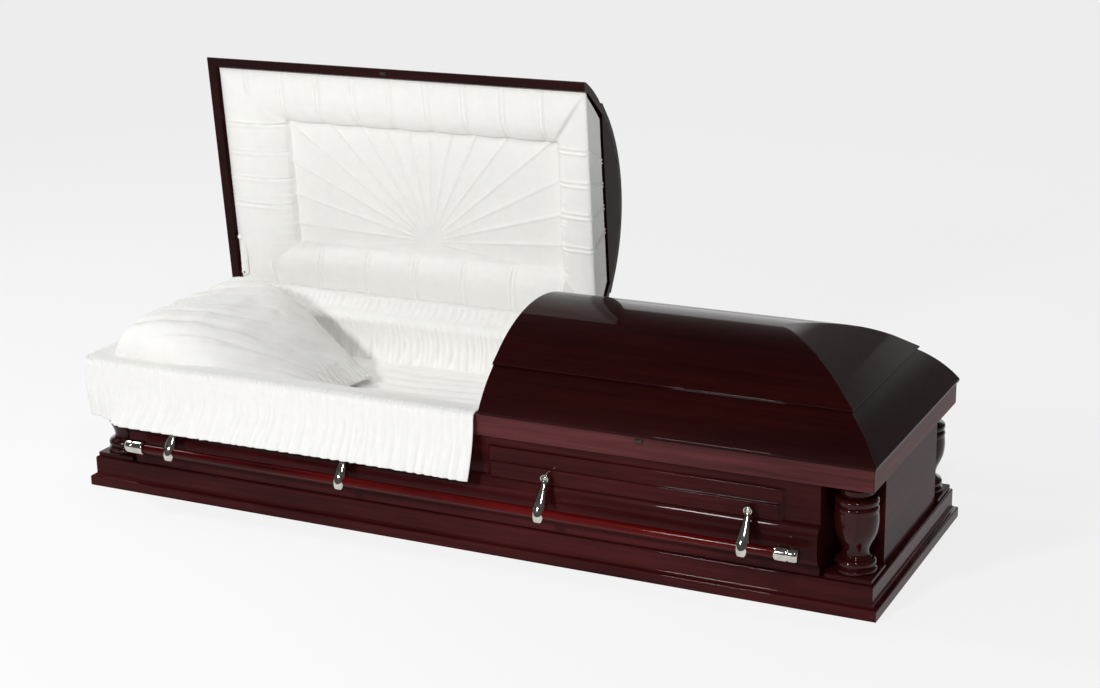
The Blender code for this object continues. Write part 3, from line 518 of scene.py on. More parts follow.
# %% Side mouldings and stepped panels
PANEL_STEP_HEIGHT = 0.0365
PANEL_BAND_PROUD = 0.007
PANEL_ROUND = 0.0020
PANEL_HOLLOW = 0.0030
SWELL_POWER = 0.8
SWELL_STEPS = 40


def side_profile_rows(profile, face, side, ends, end_slope=0.0):
    """A profile of (proud, height) points at two x places, its ends leaning in by end_slope."""
    return [[(x + lean * end_slope * p, side * (face + p), z) for p, z in profile] for x, lean in ends]


for side, word in ((-1, "front"), (1, "back")):
    low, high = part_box(f"side_moulding_{word}")
    face = min(abs(low.y), abs(high.y))
    proud = max(abs(low.y), abs(high.y)) - face
    turns = [math.pi * k / SWELL_STEPS for k in range(SWELL_STEPS + 1)]
    swell = [(proud * math.sin(turn) ** SWELL_POWER if 0 < k < SWELL_STEPS else 0.0,
              (low.z + high.z) / 2 - math.cos(turn) * (high.z - low.z) / 2) for k, turn in enumerate(turns)]
    rows = side_profile_rows(swell, face, side, ((low.x, 0), (high.x, 0)))
    mesh = skin(f"half_round_{word}", rows, wrap_columns=True, cap=True)
    add_piece(f"half_round_{word}", mesh, "root", [BODY_CHERRY[0]], [f"side_moulding_{word}"])

for (sx, sy), corner in CORNER_NAMES.items():
    low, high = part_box(f"panel_{corner}")
    face = min(abs(low.y), abs(high.y))
    proud = max(abs(low.y), abs(high.y)) - face
    step_top = low.z + PANEL_STEP_HEIGHT
    profile = rounded([(0, low.z, 0), (proud, low.z, 0.001), (proud, step_top, PANEL_ROUND),
                       (PANEL_BAND_PROUD, step_top, PANEL_HOLLOW), (PANEL_BAND_PROUD, high.z, PANEL_ROUND),
                       (0, high.z, 0)])
    rows = side_profile_rows(profile, face, sy, ((low.x, 1), (high.x, -1)), end_slope=1.0)
    mesh = skin(f"stepped_panel_{corner}", rows, wrap_columns=True, cap=True)
    add_piece(f"stepped_panel_{corner}", mesh, "root", [BODY_CHERRY[0]], [f"panel_{corner}"])
print("panel steps at", round(step_top, 4))

# %% [markdown]
# The corner posts are turned on a lathe. The outline is drawn as straight runs, as a turner would mark it
# out, and two rounds of corner cutting soften it into beads, hollows and the long urn curve. Real grooves
# between the beads stay crisp, because their points lie close together.

# %% Turned urn posts
TURN_STEPS = 56
URN_SHARES = [(0, 1.0), (0.57, 1.0), (0.57, 0.968), (0.60, 0.960), (0.74, 0.952), (0.77, 0.925),
              (0.77, 0.893), (0.74, 0.868), (0.60, 0.862), (0.60, 0.852), (0.64, 0.844), (0.90, 0.836),
              (0.98, 0.815), (0.98, 0.778), (0.94, 0.760), (0.88, 0.752), (0.88, 0.748), (0.95, 0.740),
              (0.99, 0.718), (0.985, 0.690), (0.965, 0.676), (0.975, 0.664), (1.0, 0.600), (0.995, 0.520),
              (0.94, 0.440), (0.83, 0.370), (0.70, 0.305), (0.61, 0.245), (0.60, 0.205), (0.64, 0.180),
              (0.72, 0.166), (0.72, 0.160), (0.86, 0.150), (0.93, 0.120), (0.93, 0.088), (0.86, 0.066),
              (0.82, 0.062), (0.84, 0.056), (0.95, 0.044), (0.97, 0.030), (0.97, 0), (0, 0)]
CUT_SHARE = 0.22            # how far along each run a corner is cut off


def softened(points, rounds=2):
    """Corner cutting on an open line: each round replaces a corner by two points near it."""
    far, near = 1 - CUT_SHARE, CUT_SHARE
    for _ in range(rounds):
        cut = [points[0]]
        for (a, b), (c, d) in zip(points, points[1:]):
            cut.append((far * a + near * c, far * b + near * d))
            cut.append((near * a + far * c, near * b + far * d))
        points = cut + [points[-1]]
    return points


def turned_rows(profile, place=Matrix.Identity(4), steps=TURN_STEPS):
    """A profile of (radius, height) points turned round Z, and put in place."""
    rows = []
    for k in range(steps):
        c, s = math.cos(2 * math.pi * k / steps), math.sin(2 * math.pi * k / steps)
        rows.append([place @ Vector((r * c, r * s, z)) for r, z in profile])
    return rows


for corner in CORNER_NAMES.values():
    low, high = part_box(f"urn_post_{corner}")
    radius, height = (high.y - low.y) / 2, high.z - low.z
    outline = softened([(r * radius, z * height) for r, z in URN_SHARES])
    middle = Matrix.Translation(((low.x + high.x) / 2, (low.y + high.y) / 2, low.z))
    mesh = skin(f"turned_post_{corner}", turned_rows(outline, middle), wrap_rows=True, smooth_deg=50)
    add_piece(f"turned_post_{corner}", mesh, "root", [POST_CHERRY], [f"urn_post_{corner}"],
              weighted=False)
print("urn radius", round(radius, 4), "height", round(height, 4))

# %% [markdown]
# Each lid is built up like a roof: a bulging skirt board, a lip where the next board laps over it, a flat
# board, and a crown that curves up to a level ridge. The end is closed by the same section, turned and
# mitred, so two hips run up from the corners and fade out at the ridge. The section is carried through
# eight stations. The stations six millimetres each side of a mitre keep the shading of the long boards true
# right up to the hip.

# %% Domed lids
LID_RIM_EDGE = 0.006
SKIRT_RUN, SKIRT_RISE, SKIRT_BULGE = 0.0832, 0.0882, 0.006
LIP_LAP, LIP_RISE = 0.0053, 0.0060
BOARD_RUN, BOARD_RISE = 0.0496, 0.0350
LID_THICKNESS = 0.016
LID_RIM_WIDTH = 0.024
HIP_EASE = 0.006
SKIRT_STEPS, CROWN_STEPS = 14, 22

lid_low, lid_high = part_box("foot_lid")
LID_X, LID_Y, LID_BOTTOM = lid_high.x, lid_high.y, lid_low.z
LID_HEIGHT = lid_high.z - lid_low.z
joints = {joint["name"]: joint for joint in frame["joints"]}
HINGE = Vector(joints["head_lid_hinge"]["pos_m"])
LID_OPEN = math.radians(joints["head_lid_hinge"]["range_deg"][1])
HEAD_OPEN = Matrix.Translation(HINGE) @ Matrix.Rotation(-LID_OPEN, 4, "X") @ Matrix.Translation(-HINGE)
FOOT_CUT = lid_low.x
HEAD_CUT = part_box("head_lid")[1].x


def bowed(start, end, bulge, steps):
    """Points from start to end that swell by bulge to the left, without the start."""
    (a, b), (c, d) = start, end
    length = math.hypot(c - a, d - b)
    points = []
    for k in range(1, steps + 1):
        s = k / steps
        out = bulge * 4 * s * (1 - s) / length
        points.append((a + (c - a) * s - (d - b) * out, b + (d - b) * s + (c - a) * out))
    return points


def lid_section():
    """The lid's closed section: outside from rim to ridge, then inside back down, as (inset, height)."""
    skirt_top = (SKIRT_RUN, LID_RIM_EDGE + SKIRT_RISE)
    lip = (SKIRT_RUN - LIP_LAP, skirt_top[1] + LIP_RISE)
    crease = (lip[0] + BOARD_RUN, lip[1] + BOARD_RISE)
    run, rise = LID_Y - crease[0], LID_HEIGHT - crease[1]
    radius = (run * run + rise * rise) / (2 * rise)
    crown = []
    for k in range(1, CROWN_STEPS + 1):
        t = crease[0] + run * k / CROWN_STEPS
        crown.append((t, LID_HEIGHT - radius + math.sqrt(radius * radius - (LID_Y - t) ** 2)))
    skirt = bowed((0, LID_RIM_EDGE), skirt_top, SKIRT_BULGE, SKIRT_STEPS)
    outside = rounded([(LID_RIM_WIDTH, 0, 0), (0, 0, 0.0012), (0, LID_RIM_EDGE, 0.0024),
                       *[(*point, 0) for point in skirt],
                       (*lip, 0.0018), (*crease, 0)], closed=False, step_deg=12)
    inside = [(t + LID_THICKNESS * 0.6, z - LID_THICKNESS * 0.75) for t, z in
              [(LID_RIM_WIDTH, 2 * LID_THICKNESS), skirt_top, crease, crown[CROWN_STEPS // 2]]]
    return outside + crown + [(LID_Y, LID_HEIGHT - LID_THICKNESS)] + inside[::-1], len(outside + crown) - 1


def lid_rows(cut, end, section, place):
    """The section at eight stations: cut, hip and end, each with an eased station beside the mitre."""
    sense = 1 if end > cut else -1
    rows = []
    for side in (-1, 1):
        half = [[(cut, LID_Y - t, z) for t, z in section],
                [(end - sense * (t + HIP_EASE), LID_Y - t, z) for t, z in section],
                [(end - sense * t, LID_Y - t, z) for t, z in section],
                [(end - sense * t, max(LID_Y - t - HIP_EASE, 0.0), z) for t, z in section]]
        rows += [[place @ Vector((x, side * y, LID_BOTTOM + z)) for x, y, z in row]
                 for row in half[::-side]]
    return rows


LIDS = (("foot", FOOT_CUT, LID_X, Matrix.Identity(4)), ("head", HEAD_CUT, -LID_X, HEAD_OPEN))
section, ridge_column = lid_section()
for word, cut, end, place in LIDS:
    mesh = skin(f"{word}_lid_shell", lid_rows(cut, end, section, place), wrap_columns=True, cap=True,
                grains=(0, 0, 1, 1, 1, 0, 0), smooth_deg=28, open_column=ridge_column)
    add_piece(f"{word}_lid_shell", mesh, f"{word}_lid", CHERRY, [f"{word}_lid"])
print("lid section", len(section), "points, crown top", round(LID_BOTTOM + LID_HEIGHT, 4))

# %% [markdown]
# The handles hang from small ears on the walls. Each ear is a round plate with an open ring, and the arm's
# ball sits in the ring. The arm is a turned drop with a rounded tip, which fits the reflections seen on it:
# long streaks that widen at the bottom. Everything here is turned from a profile, then laid along the
# handle's own axis.

# %% Shapes of the handles' metal
HANDLE_REST = math.radians(27.1)
ARM_LENGTH, ARM_RADIUS = 0.105, 0.0165
BALL_RADIUS = 0.0078
RING_RADIUS, RING_WALL, RING_GAP_DEG = 0.0104, 0.0026, 44
PLATE_THICKNESS = 0.0030
METAL_STEPS = 48
RING_STATIONS = 41
RING_OUT, RING_BACK = 0.0078, -0.0128   # the ring's two faces, from the pivot toward the room and the wall
METAL_EDGE = 0.0012


def arm_outline():
    """(radius, height) points of the drop, from the top of its ball down to its rounded tip."""
    ball = [(BALL_RADIUS * math.sin(math.radians(a)), BALL_RADIUS * math.cos(math.radians(a)))
            for a in range(0, 140, 12)]
    drop = [(0.38, 0.10), (0.42, 0.16), (0.54, 0.26), (0.69, 0.37), (0.83, 0.48), (0.94, 0.59), (1.0, 0.69),
            (0.99, 0.78), (0.93, 0.86), (0.80, 0.93), (0.60, 0.98), (0.46, 1.0), (0, 1.0)]
    return ball + softened([(r * ARM_RADIUS, -z * ARM_LENGTH) for r, z in drop], rounds=2)


def ring_rows(side):
    """An open ring that stands out from the wall, swept round the pivot between the sides of its gap."""
    out, back = RING_OUT * side, RING_BACK * side
    inner = RING_RADIUS - RING_WALL
    lip = rounded([(RING_RADIUS, back, 0), (RING_RADIUS, out, METAL_EDGE), (inner, out, METAL_EDGE),
                   (inner, back, 0)], step_deg=30)
    first, last = math.radians(-90 + RING_GAP_DEG), math.radians(270 - RING_GAP_DEG)
    rows = []
    for k in range(RING_STATIONS):
        turn = first + (last - first) * k / (RING_STATIONS - 1)
        rows.append([(r * math.cos(turn), y, r * math.sin(turn)) for r, y in lip])
    return rows


print("arm outline", len(arm_outline()), "points, ear ring", len(ring_rows(-1)), "stations")

# %% [markdown]
# Each ear stands where the frame's own ear stands. The arms hang at the angle seen in the photo, and the
# bar passes through their lower ends, with a ringed cap at both ends. The arms, the bar and the caps ride
# on the handle's body, so that they swing together, while the ears stay on the casket. The back handle is
# the front one mirrored.

# %% Handles in place
CAP_LENGTH, CAP_RADIUS = 0.054, 0.0175
CAP_SHARES = [(0, 1.0), (0.70, 1.0), (0.80, 0.985), (0.95, 0.90), (0.97, 0.86), (0.97, 0.62),
              (0.93, 0.60), (0.89, 0.585), (0.89, 0.555), (0.93, 0.54), (0.99, 0.53), (1.0, 0.50),
              (1.0, 0.10), (0.98, 0.05), (0.90, 0), (0, 0)]


def turned_metal(name, profile, place, body, nodes, smooth_deg=50):
    """A nickel piece turned from a profile."""
    mesh = skin(name, turned_rows(profile, place, METAL_STEPS), wrap_rows=True, smooth_deg=smooth_deg)
    add_piece(name, mesh, body, [NICKEL], nodes, weighted=False)


for side, word in ((-1, "front"), (1, "back")):
    body = f"{word}_handle"
    pivot = Vector(joints[f"{word}_handle_hinge"]["pos_m"])
    swing = Matrix.Rotation(side * HANDLE_REST, 4, "X")
    for number in range(1, 5):
        low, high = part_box(f"ear_{word}_{number}")
        place = Matrix.Translation(((low.x + high.x) / 2, pivot.y, pivot.z))
        ring = [[place @ Vector(point) for point in row] for row in ring_rows(side)]
        mesh = skin(f"ear_ring_{word}_{number}", ring, wrap_columns=True, cap=True, smooth_deg=40)
        add_piece(f"ear_ring_{word}_{number}", mesh, "root", [NICKEL], [f"ear_{word}_{number}"])
        plate = rounded([(0, PLATE_THICKNESS, 0), (RING_RADIUS, PLATE_THICKNESS, 0.0008),
                         (RING_RADIUS, 0, 0)], closed=False, step_deg=30)
        wall = Matrix.Translation((0, -side * (side * pivot.y - min(abs(low.y), abs(high.y))), 0))
        against_wall = place @ wall @ Matrix.Rotation(-side * math.pi / 2, 4, "X")
        mesh = skin(f"ear_plate_{word}_{number}", turned_rows(plate, against_wall), wrap_rows=True,
                    smooth_deg=40)
        add_piece(f"ear_plate_{word}_{number}", mesh, "root", [NICKEL])
        turned_metal(f"drop_arm_{word}_{number}", arm_outline(), place @ swing, body,
                     [f"arm_{word}_{number}"])
    low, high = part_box(f"bar_{word}")
    middle = (low + high) / 2
    half_length, radius = high.x - middle.x, (high.y - low.y) / 2
    lie = Matrix.Translation(middle) @ Matrix.Rotation(math.pi / 2, 4, "Y")
    rod = [(0, half_length), (radius, half_length), (radius, -half_length), (0, -half_length)]
    mesh = skin(f"round_bar_{word}", turned_rows(rod, lie, METAL_STEPS), wrap_rows=True)
    add_piece(f"round_bar_{word}", mesh, body, [BAR_WOOD_AND_PAINTED_HIGHLIGHT], [f"bar_{word}"])
    for end, end_word in ((-1, "head"), (1, "foot")):
        outline = softened([(r * CAP_RADIUS, z * CAP_LENGTH) for r, z in CAP_SHARES], rounds=1)
        start = Matrix.Translation((end * (half_length + TOUCH_GAP), middle.y, middle.z))
        turned_metal(f"ringed_cap_{word}_{end_word}", outline,
                     start @ Matrix.Rotation(end * math.pi / 2, 4, "Y"), body,
                     [f"bar_cap_{word}_{end_word}"], smooth_deg=35)

# %% [markdown]
# Long hinges run along the back of the rail: a thin leaf screwed to the rail and a round barrel on the
# lid's own axis. They are small and seen only from behind, so an eased copy of the solid, with a smooth
# barrel, is enough.

# %% Hinges
for word in ("head", "foot"):
    piece = add_piece(f"{word}_hinge_smooth", eased_copy(f"{word}_hinge", HINGE_EASE), "root",
                      [DARK_STEEL], [f"{word}_hinge"])
print("hinge faces", len(piece.data.polygons))

# %% [markdown]
# All the cloth is white crepe: a thin fabric with a fine crinkle. The crinkle is a bump in three sizes, from
# the weave to soft rumples, with a little sheen for the fuzz that catches light at the edges. The colour
# changes only by a faint painted shade, a little darker in the hollows of the soft rumples, where the same
# noise sinks the bump. It lets some light through, which keeps the shadows between folds pale, as they are
# on real crepe.

# %% Cloth finish
CREPE_WHITE, CREPE_PAINTED_SHADE = (0.850, 0.845, 0.822), (0.828, 0.822, 0.798)


def cloth_finish(name, light, shade):
    """White cloth: a faint painted shade in the hollows of the rumples, and a bump in three sizes laid over each
    other.
    """
    finish, tree, shader = new_finish(name)
    place = tree.nodes.new("ShaderNodeTexCoord")
    rumple = plain_noise(tree, place, Scale=38.0, Detail=4.0, Roughness=0.6)
    crinkle = plain_noise(tree, place, Scale=260.0, Detail=3.0, Roughness=0.65, Distortion=0.8)
    weave = plain_noise(tree, place, Scale=1300.0, Detail=1.0)
    # painted shade: the rumple noise that sinks the bump also darkens the colour in its hollows
    tone_ramp(tree, rumple.outputs["Fac"], shader, (0.30, 0.62), (shade, light))
    normal = relief(tree, rumple, 0.16, 0.0022)
    normal = relief(tree, crinkle, 0.30, 0.0005, normal)
    normal = relief(tree, weave, 0.35, 0.0002, normal)
    tree.links.new(normal, shader.inputs["Normal"])
    set_inputs(shader, Roughness=0.85, Specular_IOR_Level=0.2, Sheen_Weight=0.12, Sheen_Roughness=0.5,
               Subsurface_Weight=0.12, Subsurface_Radius=(0.006, 0.006, 0.005), Subsurface_Scale=1.0)
    return finish


CREPE = cloth_finish("white_crepe", CREPE_WHITE, CREPE_PAINTED_SHADE)
print("cloth finish", CREPE.name)

# %% [markdown]
# Folds in sewn cloth are never evenly spaced. The helpers below put fold crests at uneven distances and
# give each its own strength, then return a wave along them. Two such waves, mixed by height, make folds
# that merge and fork on the way down. Thin stitched pleats are narrow ridges instead, drawn in pairs.

# %% Fold helpers
def folds(length, spacing, seed, unevenness=0.35, crease=1.0):
    """A wave from -1 to 1 with crests at uneven places; a crease above 1 makes its valleys narrow."""
    chance = np.random.default_rng(seed)
    count = int(length / spacing * 1.6) + 4
    crests = np.cumsum(spacing * (1 + unevenness * chance.uniform(-1, 1, count))) - 2 * spacing
    strength = chance.uniform(0.40, 1.0, count)

    def wave(u):
        down = 0.5 - 0.5 * np.cos(2 * np.pi * np.interp(u, crests, np.arange(count)))
        return (1 - 2 * down ** crease) * np.interp(u, crests, strength)

    return wave


def ridge(distance, width):
    """A narrow bump of height 1 where distance is 0."""
    return np.exp(-(distance / width) ** 2)


def eased_step(value, start, end):
    """0 below start, 1 above end and smooth between; start may lie above end."""
    t = np.clip((value - start) / (end - start), 0, 1)
    return t * t * (3 - 2 * t)


def crumple(points, size, seed):
    """Soft noise from -1 to 1 at each point, for rumples of about that size."""
    shift = Vector((seed * 7.3, seed * 3.1, seed * 5.7))
    flat = points.reshape(-1, 3)
    values = [noise.noise(Vector(p) / size + shift) for p in flat]
    return np.array(values).reshape(points.shape[:-1])


def placed(points, matrix):
    """An array of points moved by a matrix."""
    turn = np.array(matrix)
    return points @ turn[:3, :3].T + turn[:3, 3]


def cloth_piece(name, points, body, nodes, wrap_rows=False, wrap_columns=False):
    """A soft piece over a grid of points, smooth all over."""
    mesh = skin(name, [[Vector(p) for p in row] for row in points], wrap_rows, wrap_columns, smooth_deg=None)
    return add_piece(name, mesh, body, [CREPE], nodes, weighted=False)


print("fold wave", np.round(folds(0.1, spacing=0.02, seed=1)(np.linspace(0, 0.1, 5)), 2))

# %% [markdown]
# The lining of the head lid is the showpiece: four padded borders, mitred at the corners, round a sunk
# panel. The borders are crossed by pairs of thin stitched pleats with soft puffs between them, and their
# inner edges overhang the panel in small scallops. The panel is a sunburst, thin tubes that fan upward from
# a point low in the middle. All of it is one height over the lid's opening, worked out at every grid point:
# each point takes the border whose edge is nearest, and the panel where none is near.

# %% Heights of the linings
LINING_EDGE = 0.0285
LINING_FACE = 0.0098
PANEL_DEPTH = 0.045
BORDERS = {"head": 0.186, "front": 0.143, "back": 0.122, "cut": 0.100}
CUT_FACE_DEPTH = 0.086
SIDE_ROWS = 26
SIDE_INSET, SIDE_BEHIND = 0.0075, 0.0006
SIDE_PLEAT, SIDE_PUFF, SIDE_GATHER = 0.0040, 0.0030, 0.0005
PLEAT_WIDTH, PLEAT_HEIGHT, PLEAT_APART = 0.0028, 0.0040, 0.0062
PUFF_HEIGHT = 0.0070
RAY_CENTRE = (-0.42, 0.145)
RAY_STEP_DEG, RAY_FIRST_DEG = 11.6, 4
RAY_WIDTH, RAY_HEIGHT = 0.0034, 0.0030
RAY_SAG, RAY_PUCKER = 0.0030, 0.0008
SCALLOP_SHARE = 0.050       # how far the inner edge swings over the panel, as a share of the border
ROLL_START = 0.42           # share of the border where it begins to roll in
RIM_TUCK = 0.0022
SEAM_PUCKER, SEAM_GATHER, RIM_PUCKER = 0.0022, 0.0024, 0.0009
QUILT_SIZE, QUILT_HEIGHT = 0.11, 0.006
BORDER_BLEND = 0.022        # how softly two borders meet at a mitre
LINING_RUMPLE = 0.0010
CUT_INSIDE = 0.0042
LINING_STEPS = {"head": 0.00285, "foot": 0.0052}
LINING_SEED = 11


def pleat_ridges(along, places):
    """The height of pairs of stitched pleats at places along a border, and the puffs between the pairs."""
    lines = sum(ridge(along - p - side * PLEAT_APART, PLEAT_WIDTH) for p in places for side in (-1, 1))
    phase = np.interp(along, places, np.arange(len(places)), left=-0.5, right=len(places) - 0.5)
    puffs = 1 - np.abs(2 * (phase % 1) - 1) ** 3
    return lines, puffs


def border_height(share, along, places, seed, roll):
    """Depth behind the rim of a padded border: share is 0 at its outer edge and 1 at the panel."""
    lines, puffs = pleat_ridges(along, places)
    pucker = folds(2.4, spacing=0.0085, seed=seed, unevenness=0.4)(along)
    gather = folds(2.4, spacing=0.023, seed=seed + 1, unevenness=0.4)(along)
    share = share - SCALLOP_SHARE * puffs * roll * eased_step(share, 0.4, 0.9)
    shoulder = np.clip((share - ROLL_START) / (1 - ROLL_START), 0, 1)
    full_roll = 1 - np.sqrt(np.clip(1 - shoulder ** 2.4, 0, 1))
    flat_roll = 0.25 * share + 0.75 * shoulder ** 7
    drop = roll * full_roll + (1 - roll) * flat_roll
    depth = LINING_FACE + RIM_TUCK * (1 - eased_step(share, 0, 0.07)) + (PANEL_DEPTH - LINING_FACE) * drop
    swell = np.sin(np.pi * np.clip(share, 0, 1)) ** 0.7
    depth -= PUFF_HEIGHT * (0.35 + 0.65 * puffs) * swell * (0.25 + 0.75 * roll)
    depth -= PLEAT_HEIGHT * lines * eased_step(share, 0.0, 0.05) * eased_step(share, 1.0, 0.93)
    near_seam = eased_step(share, 0.62, 0.95) * eased_step(share, 1.04, 0.97)
    near_rim = eased_step(share, 0.16, 0.03)
    depth += (SEAM_PUCKER * pucker + SEAM_GATHER * gather) * near_seam
    return depth + RIM_PUCKER * pucker * near_rim


def sunburst_height(x, y):
    """Depth of the sunk panel with its fan of raised tubes."""
    dx, dy = x - RAY_CENTRE[0], RAY_CENTRE[1] - y
    radius = np.hypot(dx, dy)
    turn = np.degrees(np.arctan2(dy, dx))
    offset = (turn - RAY_FIRST_DEG) / RAY_STEP_DEG
    across = (offset - np.round(offset)) * np.radians(RAY_STEP_DEG) * radius
    fan = eased_step(radius, 0.012, 0.05) * eased_step(dy, -0.030, -0.008)
    width = RAY_WIDTH * (0.6 + 0.4 * eased_step(radius, 0.05, 0.25))
    sag = RAY_SAG * eased_step(radius, 0.03, 0.25) * (1 - np.abs(2 * (offset % 1) - 1) ** 2)
    fine = RAY_PUCKER * np.cos(2 * np.pi * offset * 3) * eased_step(radius, 0.16, 0.04) * fan
    return PANEL_DEPTH + sag - RAY_HEIGHT * fan * ridge(across, width) + fine


def quilted_height(x, y):
    """Depth of a plain panel, quilted in diamonds."""
    cells = np.abs(np.sin(np.pi * (x + y) / QUILT_SIZE) * np.sin(np.pi * (x - y) / QUILT_SIZE))
    return PANEL_DEPTH - QUILT_HEIGHT * cells ** 0.5


print("panel depth on a ray", round(float(sunburst_height(RAY_CENTRE[0], -0.1)), 4))

# %% [markdown]
# The heights are laid over a fine grid, in the place of the closed lid, and the finished grid is then
# turned open with the lid. The pleats stand about where the photo shows them. At the split between the lids
# the cloth turns a sharp edge and runs back into the dome, as rows of their own. The foot lid, which is
# shut in the photo, has the same lining with a plain quilted panel.

# %% Lid linings
PLEAT_PLACES = {"head": (-0.155, -0.075, 0.0, 0.075), "front": np.arange(-0.93, 0.05, 0.1105),
                "back": np.arange(-0.90, 0.05, 0.148), "cut": (-0.150, -0.062, 0.022, 0.112)}


def lining_points(cut, end, step, rays, seed):
    """The grid of a closed lid's lining, whose first rows are the side face at the cut."""
    sense = 1 if end > cut else -1
    long_side = abs(end - cut) - LINING_EDGE - CUT_INSIDE
    half = LID_Y - LINING_EDGE
    run = np.linspace(0, long_side, int(long_side / step))
    ys = np.linspace(-half, half, int(2 * half / step))
    from_cut, y = np.meshgrid(run, ys, indexing="ij")
    shares = {"head": (long_side - from_cut) / BORDERS["head"], "front": (y + half) / BORDERS["front"],
              "back": (half - y) / BORDERS["back"], "cut": from_cut / BORDERS["cut"]}
    x = cut + sense * (CUT_INSIDE + from_cut)
    mirrored_x = cut - (CUT_INSIDE + from_cut)
    heights, weights = [], []
    for number, (side, share) in enumerate(shares.items()):
        along = y if side in ("head", "cut") else mirrored_x
        roll = 0.0 if side == "cut" else 1.0
        heights.append(border_height(share, along, np.array(PLEAT_PLACES[side]), seed + 2 * number, roll))
        weights.append(np.exp(-np.clip(share, 0, 3) / BORDER_BLEND))
    border = sum(h * w for h, w in zip(heights, weights)) / sum(weights)
    nearest = np.minimum.reduce(list(shares.values()))
    panel = sunburst_height(mirrored_x, y) if rays else quilted_height(x, y)
    depth = np.where(nearest < 1, border, panel)
    rumple = crumple(np.stack([x, y, depth], -1), size=0.045, seed=seed)
    depth = depth + LINING_RUMPLE * rumple * eased_step(nearest, 0.0, 0.1)
    grid = np.stack([x, y, LID_BOTTOM + depth], -1)
    return np.concatenate([side_face(cut, sense, ys, depth[0], seed), grid])


def side_face(cut, sense, ys, edge_depth, seed):
    """The cloth that runs back into the dome at the split between the lids, from deep inside to its edge."""
    half = LID_Y - LINING_EDGE
    lines, puffs = pleat_ridges(ys, np.array(PLEAT_PLACES["cut"]))
    gathers = folds(2.4, spacing=0.016, seed=seed + 9)(ys)
    rows = []
    for k in range(SIDE_ROWS, 0, -1):
        share = k / SIDE_ROWS
        deep = edge_depth + (CUT_FACE_DEPTH - edge_depth) * share
        narrow = (half - SIDE_INSET - share * CUT_FACE_DEPTH * SKIRT_RUN / SKIRT_RISE) / half
        if k < 3:
            narrow = 1 - (1 - narrow) * eased_step(np.full_like(ys, share), 0, 0.10)
        out = SIDE_PLEAT * lines * eased_step(share, 0, 0.08)
        out = out + SIDE_PUFF * (puffs - 0.5) * math.sin(math.pi * share) + SIDE_GATHER * gathers * share
        x = np.full_like(ys, cut) + sense * (CUT_INSIDE - SIDE_BEHIND - out)
        rows.append(np.stack([x, ys * narrow, LID_BOTTOM + deep], -1))
    return np.array(rows)


for word, cut, end, place in LIDS[::-1]:
    points = lining_points(cut, end, LINING_STEPS[word], word == "head", LINING_SEED)
    points = placed(points, place)
    lining = cloth_piece(f"{word}_lid_padding", points, f"{word}_lid", [f"{word}_lid_lining"])
    print(word, "lining faces", len(lining.data.polygons))

# %% [markdown]
# Inside, the body is lined with cloth gathered along the rail. It rolls over a padded edge, then hangs in
# uneven folds and slopes inward to the mattress. It is one ring: a section of the padding carried round the
# inside of the walls, past the cut corners, with folds that change from one pattern to another on the way
# down.

# %% Outlines of the body lining
RAIL_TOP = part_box("top_rail")[1].z
LINING_WALL = 0.0008
LINING_SWELL = 0.030
LINING_SLOPE = 0.050
LINING_LOW = 0.190
SLOPE_STEPS = 20
ROLL_FOLD, SLOPE_FOLD = 0.0016, 0.0075     # fold depth on the roll, and what is added toward the mattress
SHIRR_OUT, SHIRR_UP = 0.0010, 0.0007
CORNER_CUT = 0.187          # the straight cut across each corner inside the padding
NOTCH = 0.112               # the walls' square notch behind it
RING_STEP = 0.0036
lining_low, lining_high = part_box("body_lining")


def evenly(corners, count, partner=None):
    """Evenly spaced points along a closed outline, and the matching points of a partner outline."""
    closed = np.array(corners + corners[:1])
    lengths = np.concatenate([[0], np.cumsum(np.hypot(*np.diff(closed, axis=0).T))])
    u = np.linspace(0, lengths[-1], count, endpoint=False)
    rings = []
    for outline in (closed, np.array(partner + partner[:1]) if partner else closed):
        points = np.stack([np.interp(u, lengths, outline[:, axis]) for axis in (0, 1)], -1)
        for _ in range(5):
            points = (np.roll(points, 1, 0) + 2 * points + np.roll(points, -1, 0)) / 4
        rings.append(points)
    return rings, u


def corner_outline(half_x, half_y, cut, reach):
    """A rectangle with three points for each cut corner; reach 1 is a square notch, 0.5 a straight cut."""
    points = []
    for sx, sy in CORNERS:
        steps = [(half_x, half_y - cut), (half_x - reach * cut, half_y - reach * cut), (half_x - cut, half_y)]
        if sx * sy < 0:
            steps.reverse()
        points += [(sx * x, sy * y) for x, y in steps]
    return points


print("outline of a cut corner", corner_outline(1, 1, 0.1, 0.5)[:3])

# %% [markdown]
# Every level of the ring lies between two outlines: the wall's, with its square notches, and the padding's
# own, with straight cut corners. The fold wave pushes each point in or out along the outline's own normal,
# finely near the rail and broadly near the mattress. A few plain rows behind and below close the ring where
# nobody sees it.

# %% Body lining
hole_x, hole_y = lining_high.x - LINING_WALL, lining_high.y - LINING_WALL
ring_count = int(4 * (hole_x + hole_y) / RING_STEP)
inside_outline = corner_outline(hole_x - LINING_SWELL, hole_y - LINING_SWELL, CORNER_CUT, 0.5)
wall_outline = corner_outline(hole_x, hole_y, NOTCH, 1.0)
(inner_ring, outer_ring), along = evenly(inside_outline, ring_count, wall_outline)
ring_length = along[-1]
tangent = np.roll(inner_ring, -1, 0) - np.roll(inner_ring, 1, 0)
inward_way = np.stack([-tangent[:, 1], tangent[:, 0]], -1) / np.linalg.norm(tangent, axis=1, keepdims=True)
top = lining_high.z
